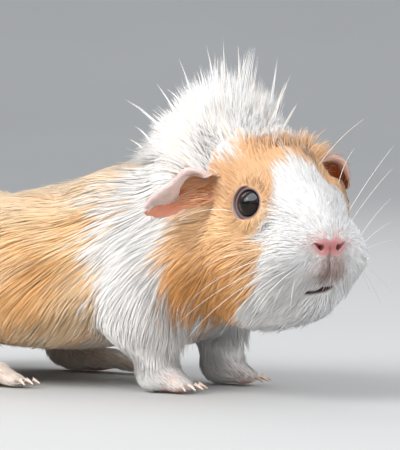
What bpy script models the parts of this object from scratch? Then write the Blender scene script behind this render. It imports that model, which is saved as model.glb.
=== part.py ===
"""A life-size guinea pig of the long-coated, crested kind, as a still museum model.

It stands low on four feet, front end raised, with its head turned to its own right.
The solids are the animal out to the tips of its coat, parted by thin gaps into named
pieces. X runs forwards along the trunk, Y to the animal's left and Z up. Lengths are
in millimetres here and become metres where a mesh is made. Points of the head are in
a frame of its own: forwards from the back of the skull, left, and height above the floor.
"""

import math

import bmesh
import bpy
from mathutils import Matrix, Vector

MM = 0.001
GAP = 0.3  # clear space between two neighbouring pieces
SIDES = {"right": -1, "left": 1}

HEAD_BASE = Vector((58, -4, 0))  # back of the skull, on the floor plan
HEAD_TURN = -25  # degrees about Z, so towards the animal's right

EYE_RADIUS = 4.9
EYE_FACETS = (14, 9)
EYE_FACET_DEPTH = 0.1  # how far a flat facet of the socket dips inside its radius
EYE_PLACE = Vector((37.6, 16.2, 65.8))  # centre of the left eyeball, in the head's frame

BODY_VOXEL = 1.6
BODY_SMOOTHING = 9
BODY_FACES = 2080
HEAD_SHARE = 0.2  # how much harder the trunk is thinned than the head

# Each lump: its centre, its half sizes and how far its front end is tilted up, in degrees.
TRUNK_LUMPS = {
    "withers": ((12, 0, 49), (38, 36, 31), 12),
    "chest": ((30, -1, 41), (30, 31, 26), 0),
    "barrel": ((-26, 0, 41), (54, 46, 29), 8),
    "belly": ((-20, 0, 31), (56, 43, 20), 0),
    "rump": ((-66, 0, 39), (40, 47, 30), 2),
    "tail_end": ((-84, 0, 36), (25, 33, 26), 0),
}
NECK_LUMPS = {
    "nape": ((44, -3, 63), (26, 24, 24), 0),
    "throat": ((50, -6, 45), (24, 25, 21), 0),
}
HEAD_LUMPS = {
    "cranium": ((18, 0, 68), (29, 20, 20), -6),
    "forehead": ((31, 0, 71), (20, 15, 14), -24),
    "bridge": ((44, 0, 63), (20, 13, 11), -36),
    "muzzle": ((49.5, 0, 53.5), (13, 18, 11), -10),
    "upper_lip": ((51, 0, 45.5), (11, 13, 7), 0),
    "chin": ((41, 0, 35), (15, 13, 9.5), 6),
    "throat_latch": ((20, 0, 37), (24, 19, 15), 0),
}
PAIRED_HEAD_LUMPS = {
    "cheek": ((24, 10, 50), (21, 15, 18), -8),
    "whisker_pad": ((49, 10.5, 48), (10.5, 10, 9), 0),
    "jowl": ((42, 9, 38), (12, 8.5, 6.5), 0),
    "brow": ((31, 9.5, 73), (13, 8.5, 8), -10),
    "eye_socket": ((35, 10.8, 64.5), (13, 8.5, 9), 0),
    "ear_base": ((19, 11, 78), (12, 10, 10), 0),
}
PAIRED_TRUNK_LUMPS = {
    "thigh": ((-56, 30, 32), (29, 19, 26), 18),
    "shank": ((-49, 34, 14), (16, 9, 10), 8),
    "upper_arm": ((26, 23, 36), (17, 13, 24), 20),
    "forearm": ((35, 20, 16), (9, 8.5, 17), 0),
}

CREST_LUMPS = {
    "dome": ((-4, 0, 91), (19, 15, 17), 0),
    "skirt": ((-2, 0, 83), (25, 19, 13), 0),
    "forelock": ((14, 0, 86), (12, 12, 10), -14),
    "mane": ((-22, -2, 82), (21, 18, 14), 8),
    "mane_end": ((-36, -5, 77), (16, 16, 11), 14),
}


def mm(*values):
    """A point or size in millimetres, as metres."""
    return Vector(values) * MM


def head_frame():
    return Matrix.Translation(HEAD_BASE * MM) @ Matrix.Rotation(math.radians(HEAD_TURN), 4, "Z")


HEAD = head_frame()
TRUNK = Matrix.Identity(4)


def clear_scene():
    for obj in list(bpy.data.objects):
        bpy.data.objects.remove(obj)


def new_collection(name, hidden=False):
    collection = bpy.data.collections.new(name)
    bpy.context.scene.collection.children.link(collection)
    collection.hide_render = hidden
    return collection


def finish_material(name, colour, roughness):
    material = bpy.data.materials.new(name)
    material.use_nodes = True
    shader = material.node_tree.nodes["Principled BSDF"]
    shader.inputs["Base Color"].default_value = (*colour, 1)
    shader.inputs["Roughness"].default_value = roughness
    shader.inputs["Metallic"].default_value = 0
    return material


def object_of(bm, name, collection, material=None):
    mesh = bpy.data.meshes.new(name)
    bm.to_mesh(mesh)
    bm.free()
    obj = bpy.data.objects.new(name, mesh)
    if material:
        mesh.materials.append(material)
    collection.objects.link(obj)
    return obj


def evaluated_bmesh(obj):
    """The object's shape with its modifiers applied, in world space."""
    graph = bpy.context.evaluated_depsgraph_get()
    mesh = bpy.data.meshes.new_from_object(obj.evaluated_get(graph))
    bm = bmesh.new()
    bm.from_mesh(mesh)
    bm.transform(obj.matrix_world)
    bpy.data.meshes.remove(mesh)
    return bm


def bake(obj):
    """Replaces the object's mesh by its evaluated one and drops its modifiers."""
    bm = evaluated_bmesh(obj)
    bmesh.ops.triangulate(bm, faces=bm.faces[:])
    obj.modifiers.clear()
    bm.to_mesh(obj.data)
    bm.free()
    obj.data.update()
    return obj


# ---- lumps of clay, blended into one skin ----


def add_ball(bm, frame, centre, radii, tilt=0, subdivisions=3):
    place = (
        frame
        @ Matrix.Translation(mm(*centre))
        @ Matrix.Rotation(math.radians(-tilt), 4, "Y")
        @ Matrix.Diagonal((*(r * MM for r in radii), 1))
    )
    return bmesh.ops.create_icosphere(bm, subdivisions=subdivisions, radius=1, matrix=place)


def add_lumps(bm, frame, lumps, sides=(1,)):
    for centre, radii, tilt in lumps.values():
        for side in sides:
            add_ball(bm, frame, (centre[0], centre[1] * side, centre[2]), radii, tilt)


def remesh(obj, voxel, smoothing, faces, group=None):
    """Blends overlapping closed shapes into one surface, smooths it and thins it to a face count."""
    blend = obj.modifiers.new("blend", "REMESH")
    blend.mode = "VOXEL"
    blend.voxel_size = voxel * MM
    soften = obj.modifiers.new("soften", "SMOOTH")
    soften.factor = 0.5
    soften.iterations = smoothing
    bake(obj)
    thin = obj.modifiers.new("thin", "DECIMATE")
    thin.ratio = min(1, faces / len(obj.data.polygons))
    if group:
        keep = obj.vertex_groups.new(name="thinned")
        for vertex in obj.data.vertices:
            keep.add([vertex.index], group(vertex.co), "REPLACE")
        thin.vertex_group = keep.name
        thin.vertex_group_factor = 1
    bake(obj)
    obj.vertex_groups.clear()
    return obj


def thinning_weight(point):
    """1 on the trunk, and less on the head, which keeps more of its faces."""
    forward = (HEAD.inverted() @ point).x / MM
    return 1 - HEAD_SHARE * min(1, max(0, forward / 20))


def whole_body(collection):
    bm = bmesh.new()
    add_lumps(bm, TRUNK, TRUNK_LUMPS)
    add_lumps(bm, TRUNK, NECK_LUMPS)
    add_lumps(bm, TRUNK, PAIRED_TRUNK_LUMPS, SIDES.values())
    add_lumps(bm, HEAD, HEAD_LUMPS)
    add_lumps(bm, HEAD, PAIRED_HEAD_LUMPS, SIDES.values())
    body = object_of(bm, "body", collection)
    return remesh(body, BODY_VOXEL, BODY_SMOOTHING, BODY_FACES, thinning_weight)


# ---- parting the body with thin gaps ----


def boolean(obj, cutter, operation):
    cut = obj.modifiers.new(operation.lower(), "BOOLEAN")
    cut.operation = operation
    cut.object = cutter
    cut.solver = "EXACT"
    return bake(obj)


def copy_of(obj, name):
    twin = obj.copy()
    twin.data = obj.data.copy()
    twin.name = name
    for collection in obj.users_collection:
        collection.objects.link(twin)
    return twin


def as_cutter(obj):
    """Keeps a helper out of the model: it is only there to cut other pieces."""
    for old in list(obj.users_collection):
        old.objects.unlink(obj)
    CUTTERS.objects.link(obj)
    obj.hide_render = True
    obj.display_type = "WIRE"
    return obj


def grown_cutter(obj, name):
    """The object pushed outwards, to cut a neighbour that then clears it by the gap."""
    twin = copy_of(obj, name)
    swell = twin.modifiers.new("swell", "DISPLACE")
    swell.strength = GAP * MM
    swell.mid_level = 0
    return as_cutter(bake(twin))


def ball_cutter(name, frame, centre, radii, tilt=0, subdivisions=3):
    bm = bmesh.new()
    add_ball(bm, frame, centre, radii, tilt, subdivisions)
    return as_cutter(object_of(bm, name, CUTTERS))


def carve(body, name, frame, centre, radii, tilt=0, subdivisions=3):
    """Parts off what lies in an ellipsoid as a piece of its own, and leaves the gap round it."""
    region = ball_cutter(name + "_region", frame, centre, radii, tilt, subdivisions)
    wider = [r + GAP for r in radii]
    grown = ball_cutter(name + "_clearance", frame, centre, wider, tilt, subdivisions)
    piece = copy_of(body, name)
    boolean(piece, region, "INTERSECT")
    boolean(body, grown, "DIFFERENCE")
    return piece


def keep_side(obj, point, normal):
    """Keeps what lies on the far side of a plane, and closes the cut flat."""
    bm = bmesh.new()
    bm.from_mesh(obj.data)
    cut = bmesh.ops.bisect_plane(
        bm,
        geom=bm.verts[:] + bm.edges[:] + bm.faces[:],
        plane_co=point,
        plane_no=normal,
        clear_inner=True,
        dist=1e-7,
    )
    rim = [e for e in cut["geom_cut"] if isinstance(e, bmesh.types.BMEdge) and e.is_boundary]
    bmesh.ops.triangle_fill(bm, use_beauty=True, edges=rim, normal=-Vector(normal))
    bmesh.ops.recalc_face_normals(bm, faces=bm.faces[:])
    bm.to_mesh(obj.data)
    bm.free()
    return obj


def slice_off(body, name, frame, point, normal):
    """Parts the body at a plane: what lies ahead of it becomes a piece of its own."""
    place = frame @ mm(*point)
    ahead = (frame.to_3x3() @ Vector(normal)).normalized()
    piece = copy_of(body, name)
    keep_side(piece, place + ahead * GAP * MM / 2, ahead)
    keep_side(body, place - ahead * GAP * MM / 2, -ahead)
    return piece


def part_body(body):
    pieces = {}
    for side, s in SIDES.items():
        pieces["thigh_" + side] = carve(
            body, "thigh_" + side, TRUNK, (-58, 36 * s, 22), (35, 17, 30), 14
        )
        pieces["foreleg_" + side] = carve(
            body, "foreleg_" + side, TRUNK, (31, 24 * s, 17), (18, 16, 27), 14
        )
    pieces["head"] = slice_off(body, "head", HEAD, (5, 0, 60), (1, 0, 0.22))
    pieces["neck"] = slice_off(body, "neck", TRUNK, (33, 0, 60), (1, -0.16, 0.5))
    pieces["shoulders"] = slice_off(body, "shoulders", TRUNK, (0, 0, 50), (1, 0, 0.1))
    pieces["barrel"] = slice_off(body, "barrel", TRUNK, (-56, 0, 50), (1, 0, -0.12))
    body.name = "rump"
    pieces["rump"] = body
    return pieces


def part_face(head):
    """The lower jaw and the nose, parted off the head."""
    jaw = carve(head, "jaw", HEAD, (30, 0, 26.5), (30, 22, 13.5), 4, subdivisions=2)
    nose = carve(head, "nose", HEAD, (61, 0, 54.5), (5, 6.5, 5), -15, subdivisions=2)
    return {"jaw": jaw, "nose": nose}


# ---- eyes ----


def eye_centre(side):
    return (EYE_PLACE.x, EYE_PLACE.y * side, EYE_PLACE.z)


def eyeballs(head, collection, material):
    eyes = {}
    for side, s in SIDES.items():
        bm = bmesh.new()
        outwards = Matrix.Translation(mm(*eye_centre(s))) @ Matrix.Rotation(math.pi / 2, 4, "X")
        bmesh.ops.create_uvsphere(
            bm,
            u_segments=EYE_FACETS[0],
            v_segments=EYE_FACETS[1],
            radius=EYE_RADIUS * MM,
            matrix=HEAD @ outwards,
        )
        eyes["eye_" + side] = object_of(bm, "eye_" + side, collection, material)
        socket_radius = EYE_RADIUS + GAP + EYE_FACET_DEPTH
        socket = ball_cutter("socket_" + side, HEAD, eye_centre(s), [socket_radius] * 3)
        boolean(head, socket, "DIFFERENCE")
    return eyes


# ---- ears ----

EAR_ACROSS = 6  # faces across an ear
EAR_ALONG = 8  # faces from its root to its tip
EAR_THICKNESS = 1.3
EARS = {
    # root, a point that the middle line bends towards, and tip, in the head's frame
    "right": {
        "line": ((17, -17, 72), (8, -33, 71), (-1, -33, 61)),
        "root_across": (6, 0, 14),
        "tip_across": (6, -7, 10),
        "half_width": 6.2,
        "cup": 3.6,
    },
    "left": {
        "line": ((18, 15, 76), (18, 30, 84), (20, 31, 69.5)),
        "root_across": (9, -2, 12),
        "tip_across": (13, 2, 3),
        "half_width": 8.0,
        "cup": 4.0,
    },
}


def curve_point(points, t):
    a, b, c = (Vector(p) for p in points)
    return a * (1 - t) ** 2 + b * 2 * t * (1 - t) + c * t**2


def ear_outline(t):
    """Half width of the ear, as a share of its largest, at a share t of its length."""
    return (0.72 + 0.75 * t - 0.42 * t**2) * math.sqrt(max(0.0, 1 - t**3.2)) + 0.04


def ear_sheet(ear):
    """A petal: rows across a bent middle line, cupped towards its open face."""
    bm = bmesh.new()
    rows = []
    for i in range(EAR_ALONG + 1):
        t = i / EAR_ALONG
        middle = curve_point(ear["line"], t)
        ahead = curve_point(ear["line"], min(1, t + 0.02)) - curve_point(ear["line"], t - 0.02)
        across = Vector(ear["root_across"]).normalized().lerp(
            Vector(ear["tip_across"]).normalized(), t
        )
        across = (across - ahead * across.dot(ahead) / ahead.length_squared).normalized()
        facing = across.cross(ahead).normalized() * ear["facing"]
        row = []
        for j in range(EAR_ACROSS + 1):
            s = 2 * j / EAR_ACROSS - 1
            width = ear["half_width"] * ear_outline(t)
            lift = ear["cup"] * (s * s) * (1 - 0.45 * t)
            row.append(bm.verts.new((middle + across * width * s + facing * lift) * MM))
        rows.append(row)
    for back, front in zip(rows, rows[1:]):
        for j in range(EAR_ACROSS):
            bm.faces.new((back[j], back[j + 1], front[j + 1], front[j]))
    return bm


def ears(body_clearance, collection, material):
    made = {}
    for side, s in SIDES.items():
        bm = ear_sheet(EARS[side] | {"facing": -s})
        bm.transform(HEAD)
        ear = object_of(bm, "ear_" + side, collection, material)
        wall = ear.modifiers.new("wall", "SOLIDIFY")
        wall.thickness = EAR_THICKNESS * MM
        wall.offset = 0
        bake(ear)
        bm = bmesh.new()
        bm.from_mesh(ear.data)
        bmesh.ops.recalc_face_normals(bm, faces=bm.faces[:])
        bm.to_mesh(ear.data)
        bm.free()
        boolean(ear, body_clearance, "DIFFERENCE")
        made["ear_" + side] = ear
    return made


# ---- the crest of standing hair ----

CREST_CENTRE = Vector((-4, 0, 84))  # where its locks spread from, in the head's frame
CREST_LOCKS = 34
CREST_SPREAD = 0.82  # from 0, where all its locks stand up, to 1, where the last lie level
CREST_NARROWING = 0.8  # how far the locks spread sideways, as a share of forwards
CREST_TRAIL = Vector((-18.7, 0, -2.55))  # how far back the rearmost locks start
FRONT_TRIM = 8  # how much shorter the foremost locks are
LOCK_REACH = (27, 38)
LOCK_WAVE = 2.1  # radians between one lock and the next, in the wave that sets their lengths
LOCK_RADIUS = 7.5
LOCK_TIP = 0.7
CREST_VOXEL = 0.9
CREST_FACES = 850
GOLDEN_ANGLE = math.pi * (3 - math.sqrt(5))


def add_lock(bm, start, direction, length, radius):
    turn = Vector((0, 0, 1)).rotation_difference(direction).to_matrix().to_4x4()
    place = HEAD @ Matrix.Translation(start * MM) @ turn
    bmesh.ops.create_cone(
        bm,
        cap_ends=True,
        segments=7,
        radius1=radius * MM,
        radius2=LOCK_TIP * MM,
        depth=length * MM,
        matrix=place @ Matrix.Translation((0, 0, length * MM / 2)),
    )


def crest(body_clearance, collection, material):
    bm = bmesh.new()
    add_lumps(bm, HEAD, CREST_LUMPS)
    for i in range(CREST_LOCKS):
        height = 1 - CREST_SPREAD * (i + 0.5) / CREST_LOCKS
        around = i * GOLDEN_ANGLE
        flat = math.sqrt(1 - height**2)
        sideways = flat * math.sin(around) * CREST_NARROWING
        direction = Vector((flat * math.cos(around), sideways, height))
        start = CREST_CENTRE + CREST_TRAIL * max(0, -direction.x)
        low, high = LOCK_REACH
        length = low + (high - low) * (0.5 + 0.5 * math.sin(i * LOCK_WAVE))
        length -= FRONT_TRIM * max(0, direction.x)
        add_lock(bm, start, direction.normalized(), length, LOCK_RADIUS)
    hair = object_of(bm, "crest", collection, material)
    remesh(hair, CREST_VOXEL, 1, CREST_FACES)
    boolean(hair, body_clearance, "DIFFERENCE")
    return hair


# ---- feet and claws ----

# Left feet, in the trunk's frame: the paw's centre and half sizes, where its toes start,
# the degrees between two toes, and the height where the foot meets the leg.
FEET = {
    "forefoot": {
        "paw": ((36, 19.5, 6), (9.5, 7.5, 6.5)),
        "toes": 4,
        "toe_length": 9,
        "toe_start": (40, 19.5, 4),
        "fan": 17,
        "top": 10,
    },
    "hindfoot": {
        "paw": ((-36, 34.5, 5.5), (20, 7.5, 6)),
        "toes": 3,
        "toe_length": 12,
        "toe_start": (-23, 34.5, 4),
        "fan": 13,
        "top": 9,
    },
}
TOES_TURNED_OUT = 4  # degrees
TOE_TIP_HEIGHT = 3
TOE_RADIUS = 2.9
TOE_HEIGHT = 1.1  # as a share of its width
TOE_MIDDLE = 0.4  # how far back from its tip a toe is centred, as a share of its length
TOE_HALF = 0.62  # half the length of a toe's ellipsoid, as a share of the toe's length
FOOT_VOXEL = 0.8
FOOT_FACES = 210
CLAW_LENGTH = 6.5
CLAW_RADIUS = 1.25
CLAW_STEPS = 4
CLAW_TIP = 0.22  # radius at the tip, as a share of the root's
CLAW_RISE = 0.9
CLAW_HOOK = 2.6  # how far the tip drops
CLAW_ROOT = (1.5, 0.4)  # how far inside the toe's tip a claw starts, and how far above it


def toe_angles(foot):
    """Each toe's direction, in degrees outwards from straight ahead."""
    count = foot["toes"]
    return [(i - (count - 1) / 2) * foot["fan"] + TOES_TURNED_OUT for i in range(count)]


def toe_end(foot, angle, side):
    start = Vector(foot["toe_start"])
    turn = math.radians(angle)
    ahead = Vector((math.cos(turn), math.sin(turn), 0))
    end = start + ahead * foot["toe_length"]
    return Vector((end.x, end.y * side, TOE_TIP_HEIGHT)), Vector((ahead.x, ahead.y * side, 0))


def foot_solid(name, foot, side, collection, material):
    bm = bmesh.new()
    centre, radii = foot["paw"]
    add_ball(bm, TRUNK, (centre[0], centre[1] * side, centre[2]), radii)
    toe = (foot["toe_length"] * TOE_HALF, TOE_RADIUS, TOE_RADIUS * TOE_HEIGHT)
    for angle in toe_angles(foot):
        end, ahead = toe_end(foot, angle, side)
        middle = end - ahead * foot["toe_length"] * TOE_MIDDLE
        turn = Matrix.Rotation(math.atan2(ahead.y, ahead.x), 4, "Z")
        add_ball(bm, Matrix.Translation(middle * MM) @ turn, (0, 0, 0), toe)
    solid = object_of(bm, name, collection, material)
    remesh(solid, FOOT_VOXEL, 3, FOOT_FACES)
    keep_side(solid, Vector((0, 0, 0)), Vector((0, 0, 1)))
    keep_side(solid, mm(0, 0, foot["top"]), Vector((0, 0, -1)))
    return solid


def claw_curve(name, root, ahead, radius, collection):
    """A horn that tapers and hooks down to its tip."""
    curve = bpy.data.curves.new(name, "CURVE")
    curve.dimensions = "3D"
    curve.bevel_depth = radius * MM
    curve.bevel_resolution = 0
    curve.use_fill_caps = True
    spline = curve.splines.new("POLY")
    spline.points.add(CLAW_STEPS)
    for i in range(CLAW_STEPS + 1):
        t = i / CLAW_STEPS
        bend = Vector((0, 0, CLAW_RISE * t - CLAW_HOOK * t * t))
        point = root + ahead * CLAW_LENGTH * t + bend
        spline.points[i].co = (*(point * MM), 1)
        spline.points[i].radius = 1 - (1 - CLAW_TIP) * t**1.4
    guide = bpy.data.objects.new(name, curve)
    collection.objects.link(guide)
    graph = bpy.context.evaluated_depsgraph_get()
    mesh = bpy.data.meshes.new_from_object(guide.evaluated_get(graph))
    bm = bmesh.new()
    bm.from_mesh(mesh)
    bmesh.ops.remove_doubles(bm, verts=bm.verts[:], dist=1e-6)
    bmesh.ops.triangulate(bm, faces=bm.faces[:])
    bpy.data.objects.remove(guide)
    bpy.data.meshes.remove(mesh)
    return object_of(bm, name, collection)


def feet(collection, skin, horn):
    made = {}
    for kind, foot in FEET.items():
        for side, s in SIDES.items():
            name = f"{kind}_{side}"
            solid = foot_solid(name, foot, s, collection, skin)
            toe_clearance = grown_cutter(solid, name + "_clearance")
            for number, angle in enumerate(toe_angles(foot), 1):
                end, ahead = toe_end(foot, angle, s)
                inside, above = CLAW_ROOT
                root = end - ahead * inside + Vector((0, 0, above))
                claw_name = f"claw_{kind}_{side}_{number}"
                claw = claw_curve(claw_name, root, ahead, CLAW_RADIUS, collection)
                claw.data.materials.append(horn)
                boolean(claw, toe_clearance, "DIFFERENCE")
                made[claw_name] = claw
            made[name] = solid
    return made


def trim_legs(pieces):
    """Cuts each leg off flat above its foot, so that the two meet with the gap."""
    for side in SIDES:
        for leg, kind in (("foreleg_", "forefoot"), ("thigh_", "hindfoot")):
            top = FEET[kind]["top"] + GAP
            keep_side(pieces[leg + side], mm(0, 0, top), Vector((0, 0, 1)))


# ---- putting it together ----


def set_on_floor(objects):
    """Moves the pieces so that the origin is on the floor, under the middle of the model."""
    corners = [v.co for obj in objects for v in obj.data.vertices]
    low = Vector([min(c[i] for c in corners) for i in range(3)])
    high = Vector([max(c[i] for c in corners) for i in range(3)])
    shift = Vector(((low.x + high.x) / -2, (low.y + high.y) / -2, -low.z))
    for obj in objects:
        obj.data.transform(Matrix.Translation(shift))


def keep_largest(obj):
    """Drops stray crumbs that a cut leaves, keeping the largest connected shell."""
    bm = bmesh.new()
    bm.from_mesh(obj.data)
    left = set(bm.verts)
    shells = []
    while left:
        stack = [left.pop()]
        shell = set(stack)
        while stack:
            for edge in stack.pop().link_edges:
                for vertex in edge.verts:
                    if vertex not in shell:
                        shell.add(vertex)
                        stack.append(vertex)
        left -= shell
        shells.append(shell)
    shells.sort(key=len)
    crumbs = [v for shell in shells[:-1] for v in shell]
    bmesh.ops.delete(bm, geom=crumbs, context="VERTS")
    bm.to_mesh(obj.data)
    bm.free()


clear_scene()
MODEL = new_collection("guinea_pig")
CUTTERS = new_collection("cutters", hidden=True)

white_hair = finish_material("white_hair", (0.86, 0.83, 0.80), 0.75)
cream_hair = finish_material("cream_hair", (0.80, 0.55, 0.32), 0.75)
orange_hair = finish_material("orange_hair", (0.74, 0.44, 0.20), 0.75)
pink_skin = finish_material("pink_skin", (0.72, 0.42, 0.36), 0.55)
eye_black = finish_material("eye_black", (0.012, 0.009, 0.008), 0.08)
claw_horn = finish_material("claw_horn", (0.62, 0.48, 0.38), 0.4)

FINISHES = {
    "head": orange_hair,
    "jaw": white_hair,
    "nose": pink_skin,
    "neck": white_hair,
    "shoulders": white_hair,
    "barrel": cream_hair,
    "rump": cream_hair,
    "thigh": cream_hair,
    "foreleg": white_hair,
}

body = whole_body(MODEL)
clearance = grown_cutter(body, "body_clearance")

model = {"crest": crest(clearance, MODEL, white_hair)}
model |= ears(clearance, MODEL, pink_skin)
model |= part_body(body)
model |= part_face(model["head"])
model |= eyeballs(model["head"], MODEL, eye_black)
trim_legs(model)
model |= feet(MODEL, pink_skin, claw_horn)

for name, obj in model.items():
    keep_largest(obj)
    kind = name.split("_")[0]
    if kind in FINISHES:
        obj.data.materials.clear()
        obj.data.materials.append(FINISHES[kind])
    obj.data.shade_smooth()
    obj.data.set_sharp_from_angle(angle=math.radians(50))
set_on_floor(list(model.values()))
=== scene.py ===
import math
from types import SimpleNamespace
import bpy
import bmesh
import numpy as np
from mathutils import Matrix, Vector
from mathutils.kdtree import KDTree


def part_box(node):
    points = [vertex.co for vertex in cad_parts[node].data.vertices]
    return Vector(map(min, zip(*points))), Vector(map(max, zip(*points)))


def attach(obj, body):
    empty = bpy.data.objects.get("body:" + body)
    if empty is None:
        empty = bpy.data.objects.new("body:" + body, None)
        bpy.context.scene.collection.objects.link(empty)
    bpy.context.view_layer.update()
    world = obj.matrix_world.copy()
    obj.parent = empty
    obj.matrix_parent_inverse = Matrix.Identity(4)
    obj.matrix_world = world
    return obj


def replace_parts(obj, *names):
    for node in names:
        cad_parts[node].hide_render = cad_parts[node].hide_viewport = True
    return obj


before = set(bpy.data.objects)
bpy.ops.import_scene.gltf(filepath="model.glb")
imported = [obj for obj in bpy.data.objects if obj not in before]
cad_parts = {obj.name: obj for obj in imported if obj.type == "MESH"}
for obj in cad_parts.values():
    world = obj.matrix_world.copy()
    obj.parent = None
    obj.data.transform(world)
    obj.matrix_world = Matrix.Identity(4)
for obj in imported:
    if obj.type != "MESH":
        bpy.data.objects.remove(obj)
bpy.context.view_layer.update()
mm = 0.001
up = Vector((0, 0, 1))
sides = {"right": -1, "left": 1}


# where the head points is read from its eyes, and the trunk's place from the head's

def middleOf(node):
    low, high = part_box(node)
    return (low + high) / 2


anatomy = {
    "eyeAhead": 37.6,     # eyes, forwards of the back of the skull, in mm
    "eyeRadius": 4.9,
    "neckShift": (58, -4),  # from the middle of the trunk to the back of the skull
}
eyeMiddles = {side: middleOf("eye_" + side) for side in sides}
headLeft = (eyeMiddles["left"] - eyeMiddles["right"]).normalized()
headForward = headLeft.cross(up)
headOrigin = (eyeMiddles["left"] + eyeMiddles["right"]) / 2 - headForward * anatomy["eyeAhead"] * mm
headOrigin.z = 0
trunkOrigin = headOrigin - Vector((*anatomy["neckShift"], 0)) * mm
headAxes = np.array([headForward, headLeft, up])


def toHead(points):
    return (np.asarray(points) - np.array(headOrigin)) @ headAxes.T / mm


def fromHead(points):
    return (np.asarray(points, float) * mm) @ headAxes + np.array(headOrigin)


def toTrunk(points):
    return (np.asarray(points) - np.array(trunkOrigin)) / mm


def fromTrunk(points):
    return np.asarray(points, float) * mm + np.array(trunkOrigin)


# small helpers on arrays

def unit(vectors):
    return vectors / np.maximum(np.linalg.norm(vectors, axis=-1, keepdims=True), 1e-9)


def dots(a, b):
    return (a * b).sum(axis=-1, keepdims=True)


def ease(low, high, value):
    t = np.clip((value - low) / (high - low), 0, 1)
    return t * t * (3 - 2 * t)


def mix(a, b, share):
    return a + (b - a) * share


def tinted(colours, tone, share):
    # colours drawn towards a tone, each by its own share
    return mix(colours, tone, share[:, None])


def hump(*offsets):
    # 1 where every offset is 0, falling smoothly to nothing; offsets are counted in widths
    return np.exp(-sum(offset**2 for offset in offsets))


def linear(colour):
    c = np.array(colour, float) / 255
    return np.where(c < 0.04045, c / 12.92, ((c + 0.055) / 1.055) ** 2.4)


def ripple(points, size):
    # slow uneven waves from -1 to 1, for edges that aren't straight; points and size in mm
    x, y, z = (points / size).T
    waves = np.sin(x * 2.1 + 1.3 * np.sin(y * 1.7 + 0.4)) + np.sin(z * 2.6 + 1.1 * np.sin(x * 1.3 + 2.0))
    return (waves + np.sin(y * 2.3 + 0.9 * np.sin(z * 1.9 + 1.0))) / 3


def nearestIndex(tree, points):
    find = tree.find
    return np.array([find(p)[1] for p in points])


def treeOf(points):
    tree = KDTree(len(points))
    for i, p in enumerate(points):
        tree.insert(p, i)
    tree.balance()
    return tree


# meshes to arrays and back

def arraysOf(mesh):
    points = np.empty(len(mesh.vertices) * 3, np.float32)
    mesh.vertices.foreach_get("co", points)
    mesh.calc_loop_triangles()
    corners = np.empty(len(mesh.loop_triangles) * 3, np.int32)
    mesh.loop_triangles.foreach_get("vertices", corners)
    return points.reshape(-1, 3).astype(float), corners.reshape(-1, 3)


def normalsOf(points, triangles):
    a, b, c = (points[triangles[:, i]] for i in range(3))
    faceNormals = np.cross(b - a, c - a)
    total = np.zeros_like(points)
    for i in range(3):
        for axis in range(3):
            total[:, axis] += np.bincount(triangles[:, i], faceNormals[:, axis], len(points))
    return unit(total)


def edgesOf(triangles):
    ends = np.concatenate([triangles[:, [0, 1]], triangles[:, [1, 2]], triangles[:, [2, 0]]])
    return np.unique(np.sort(ends, axis=1), axis=0)


def relaxed(values, edges, share, rounds):
    # moves each value towards the mean of its neighbours; share may differ from point to point
    count = np.bincount(edges.ravel(), minlength=len(values))[:, None]
    for _ in range(rounds):
        total = np.zeros_like(values)
        for axis in range(values.shape[1]):
            total[:, axis] = np.bincount(edges[:, 0], values[edges[:, 1], axis], len(values))
            total[:, axis] += np.bincount(edges[:, 1], values[edges[:, 0], axis], len(values))
        values = mix(values, total / np.maximum(count, 1), share)
    return values


def linked(name, mesh):
    piece = bpy.data.objects.new(name, mesh)
    bpy.context.scene.collection.objects.link(piece)
    return piece


def objectOf(bm, name):
    mesh = bpy.data.meshes.new(name)
    bm.to_mesh(mesh)
    bm.free()
    return linked(name, mesh)


def applyModifiers(piece):
    graph = bpy.context.evaluated_depsgraph_get()
    mesh = bpy.data.meshes.new_from_object(piece.evaluated_get(graph))
    piece.modifiers.clear()
    piece.data = mesh
    return piece


def modify(piece, kind, **settings):
    modifier = piece.modifiers.new(kind.lower(), kind)
    for key, value in settings.items():
        setattr(modifier, key, value)


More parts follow.
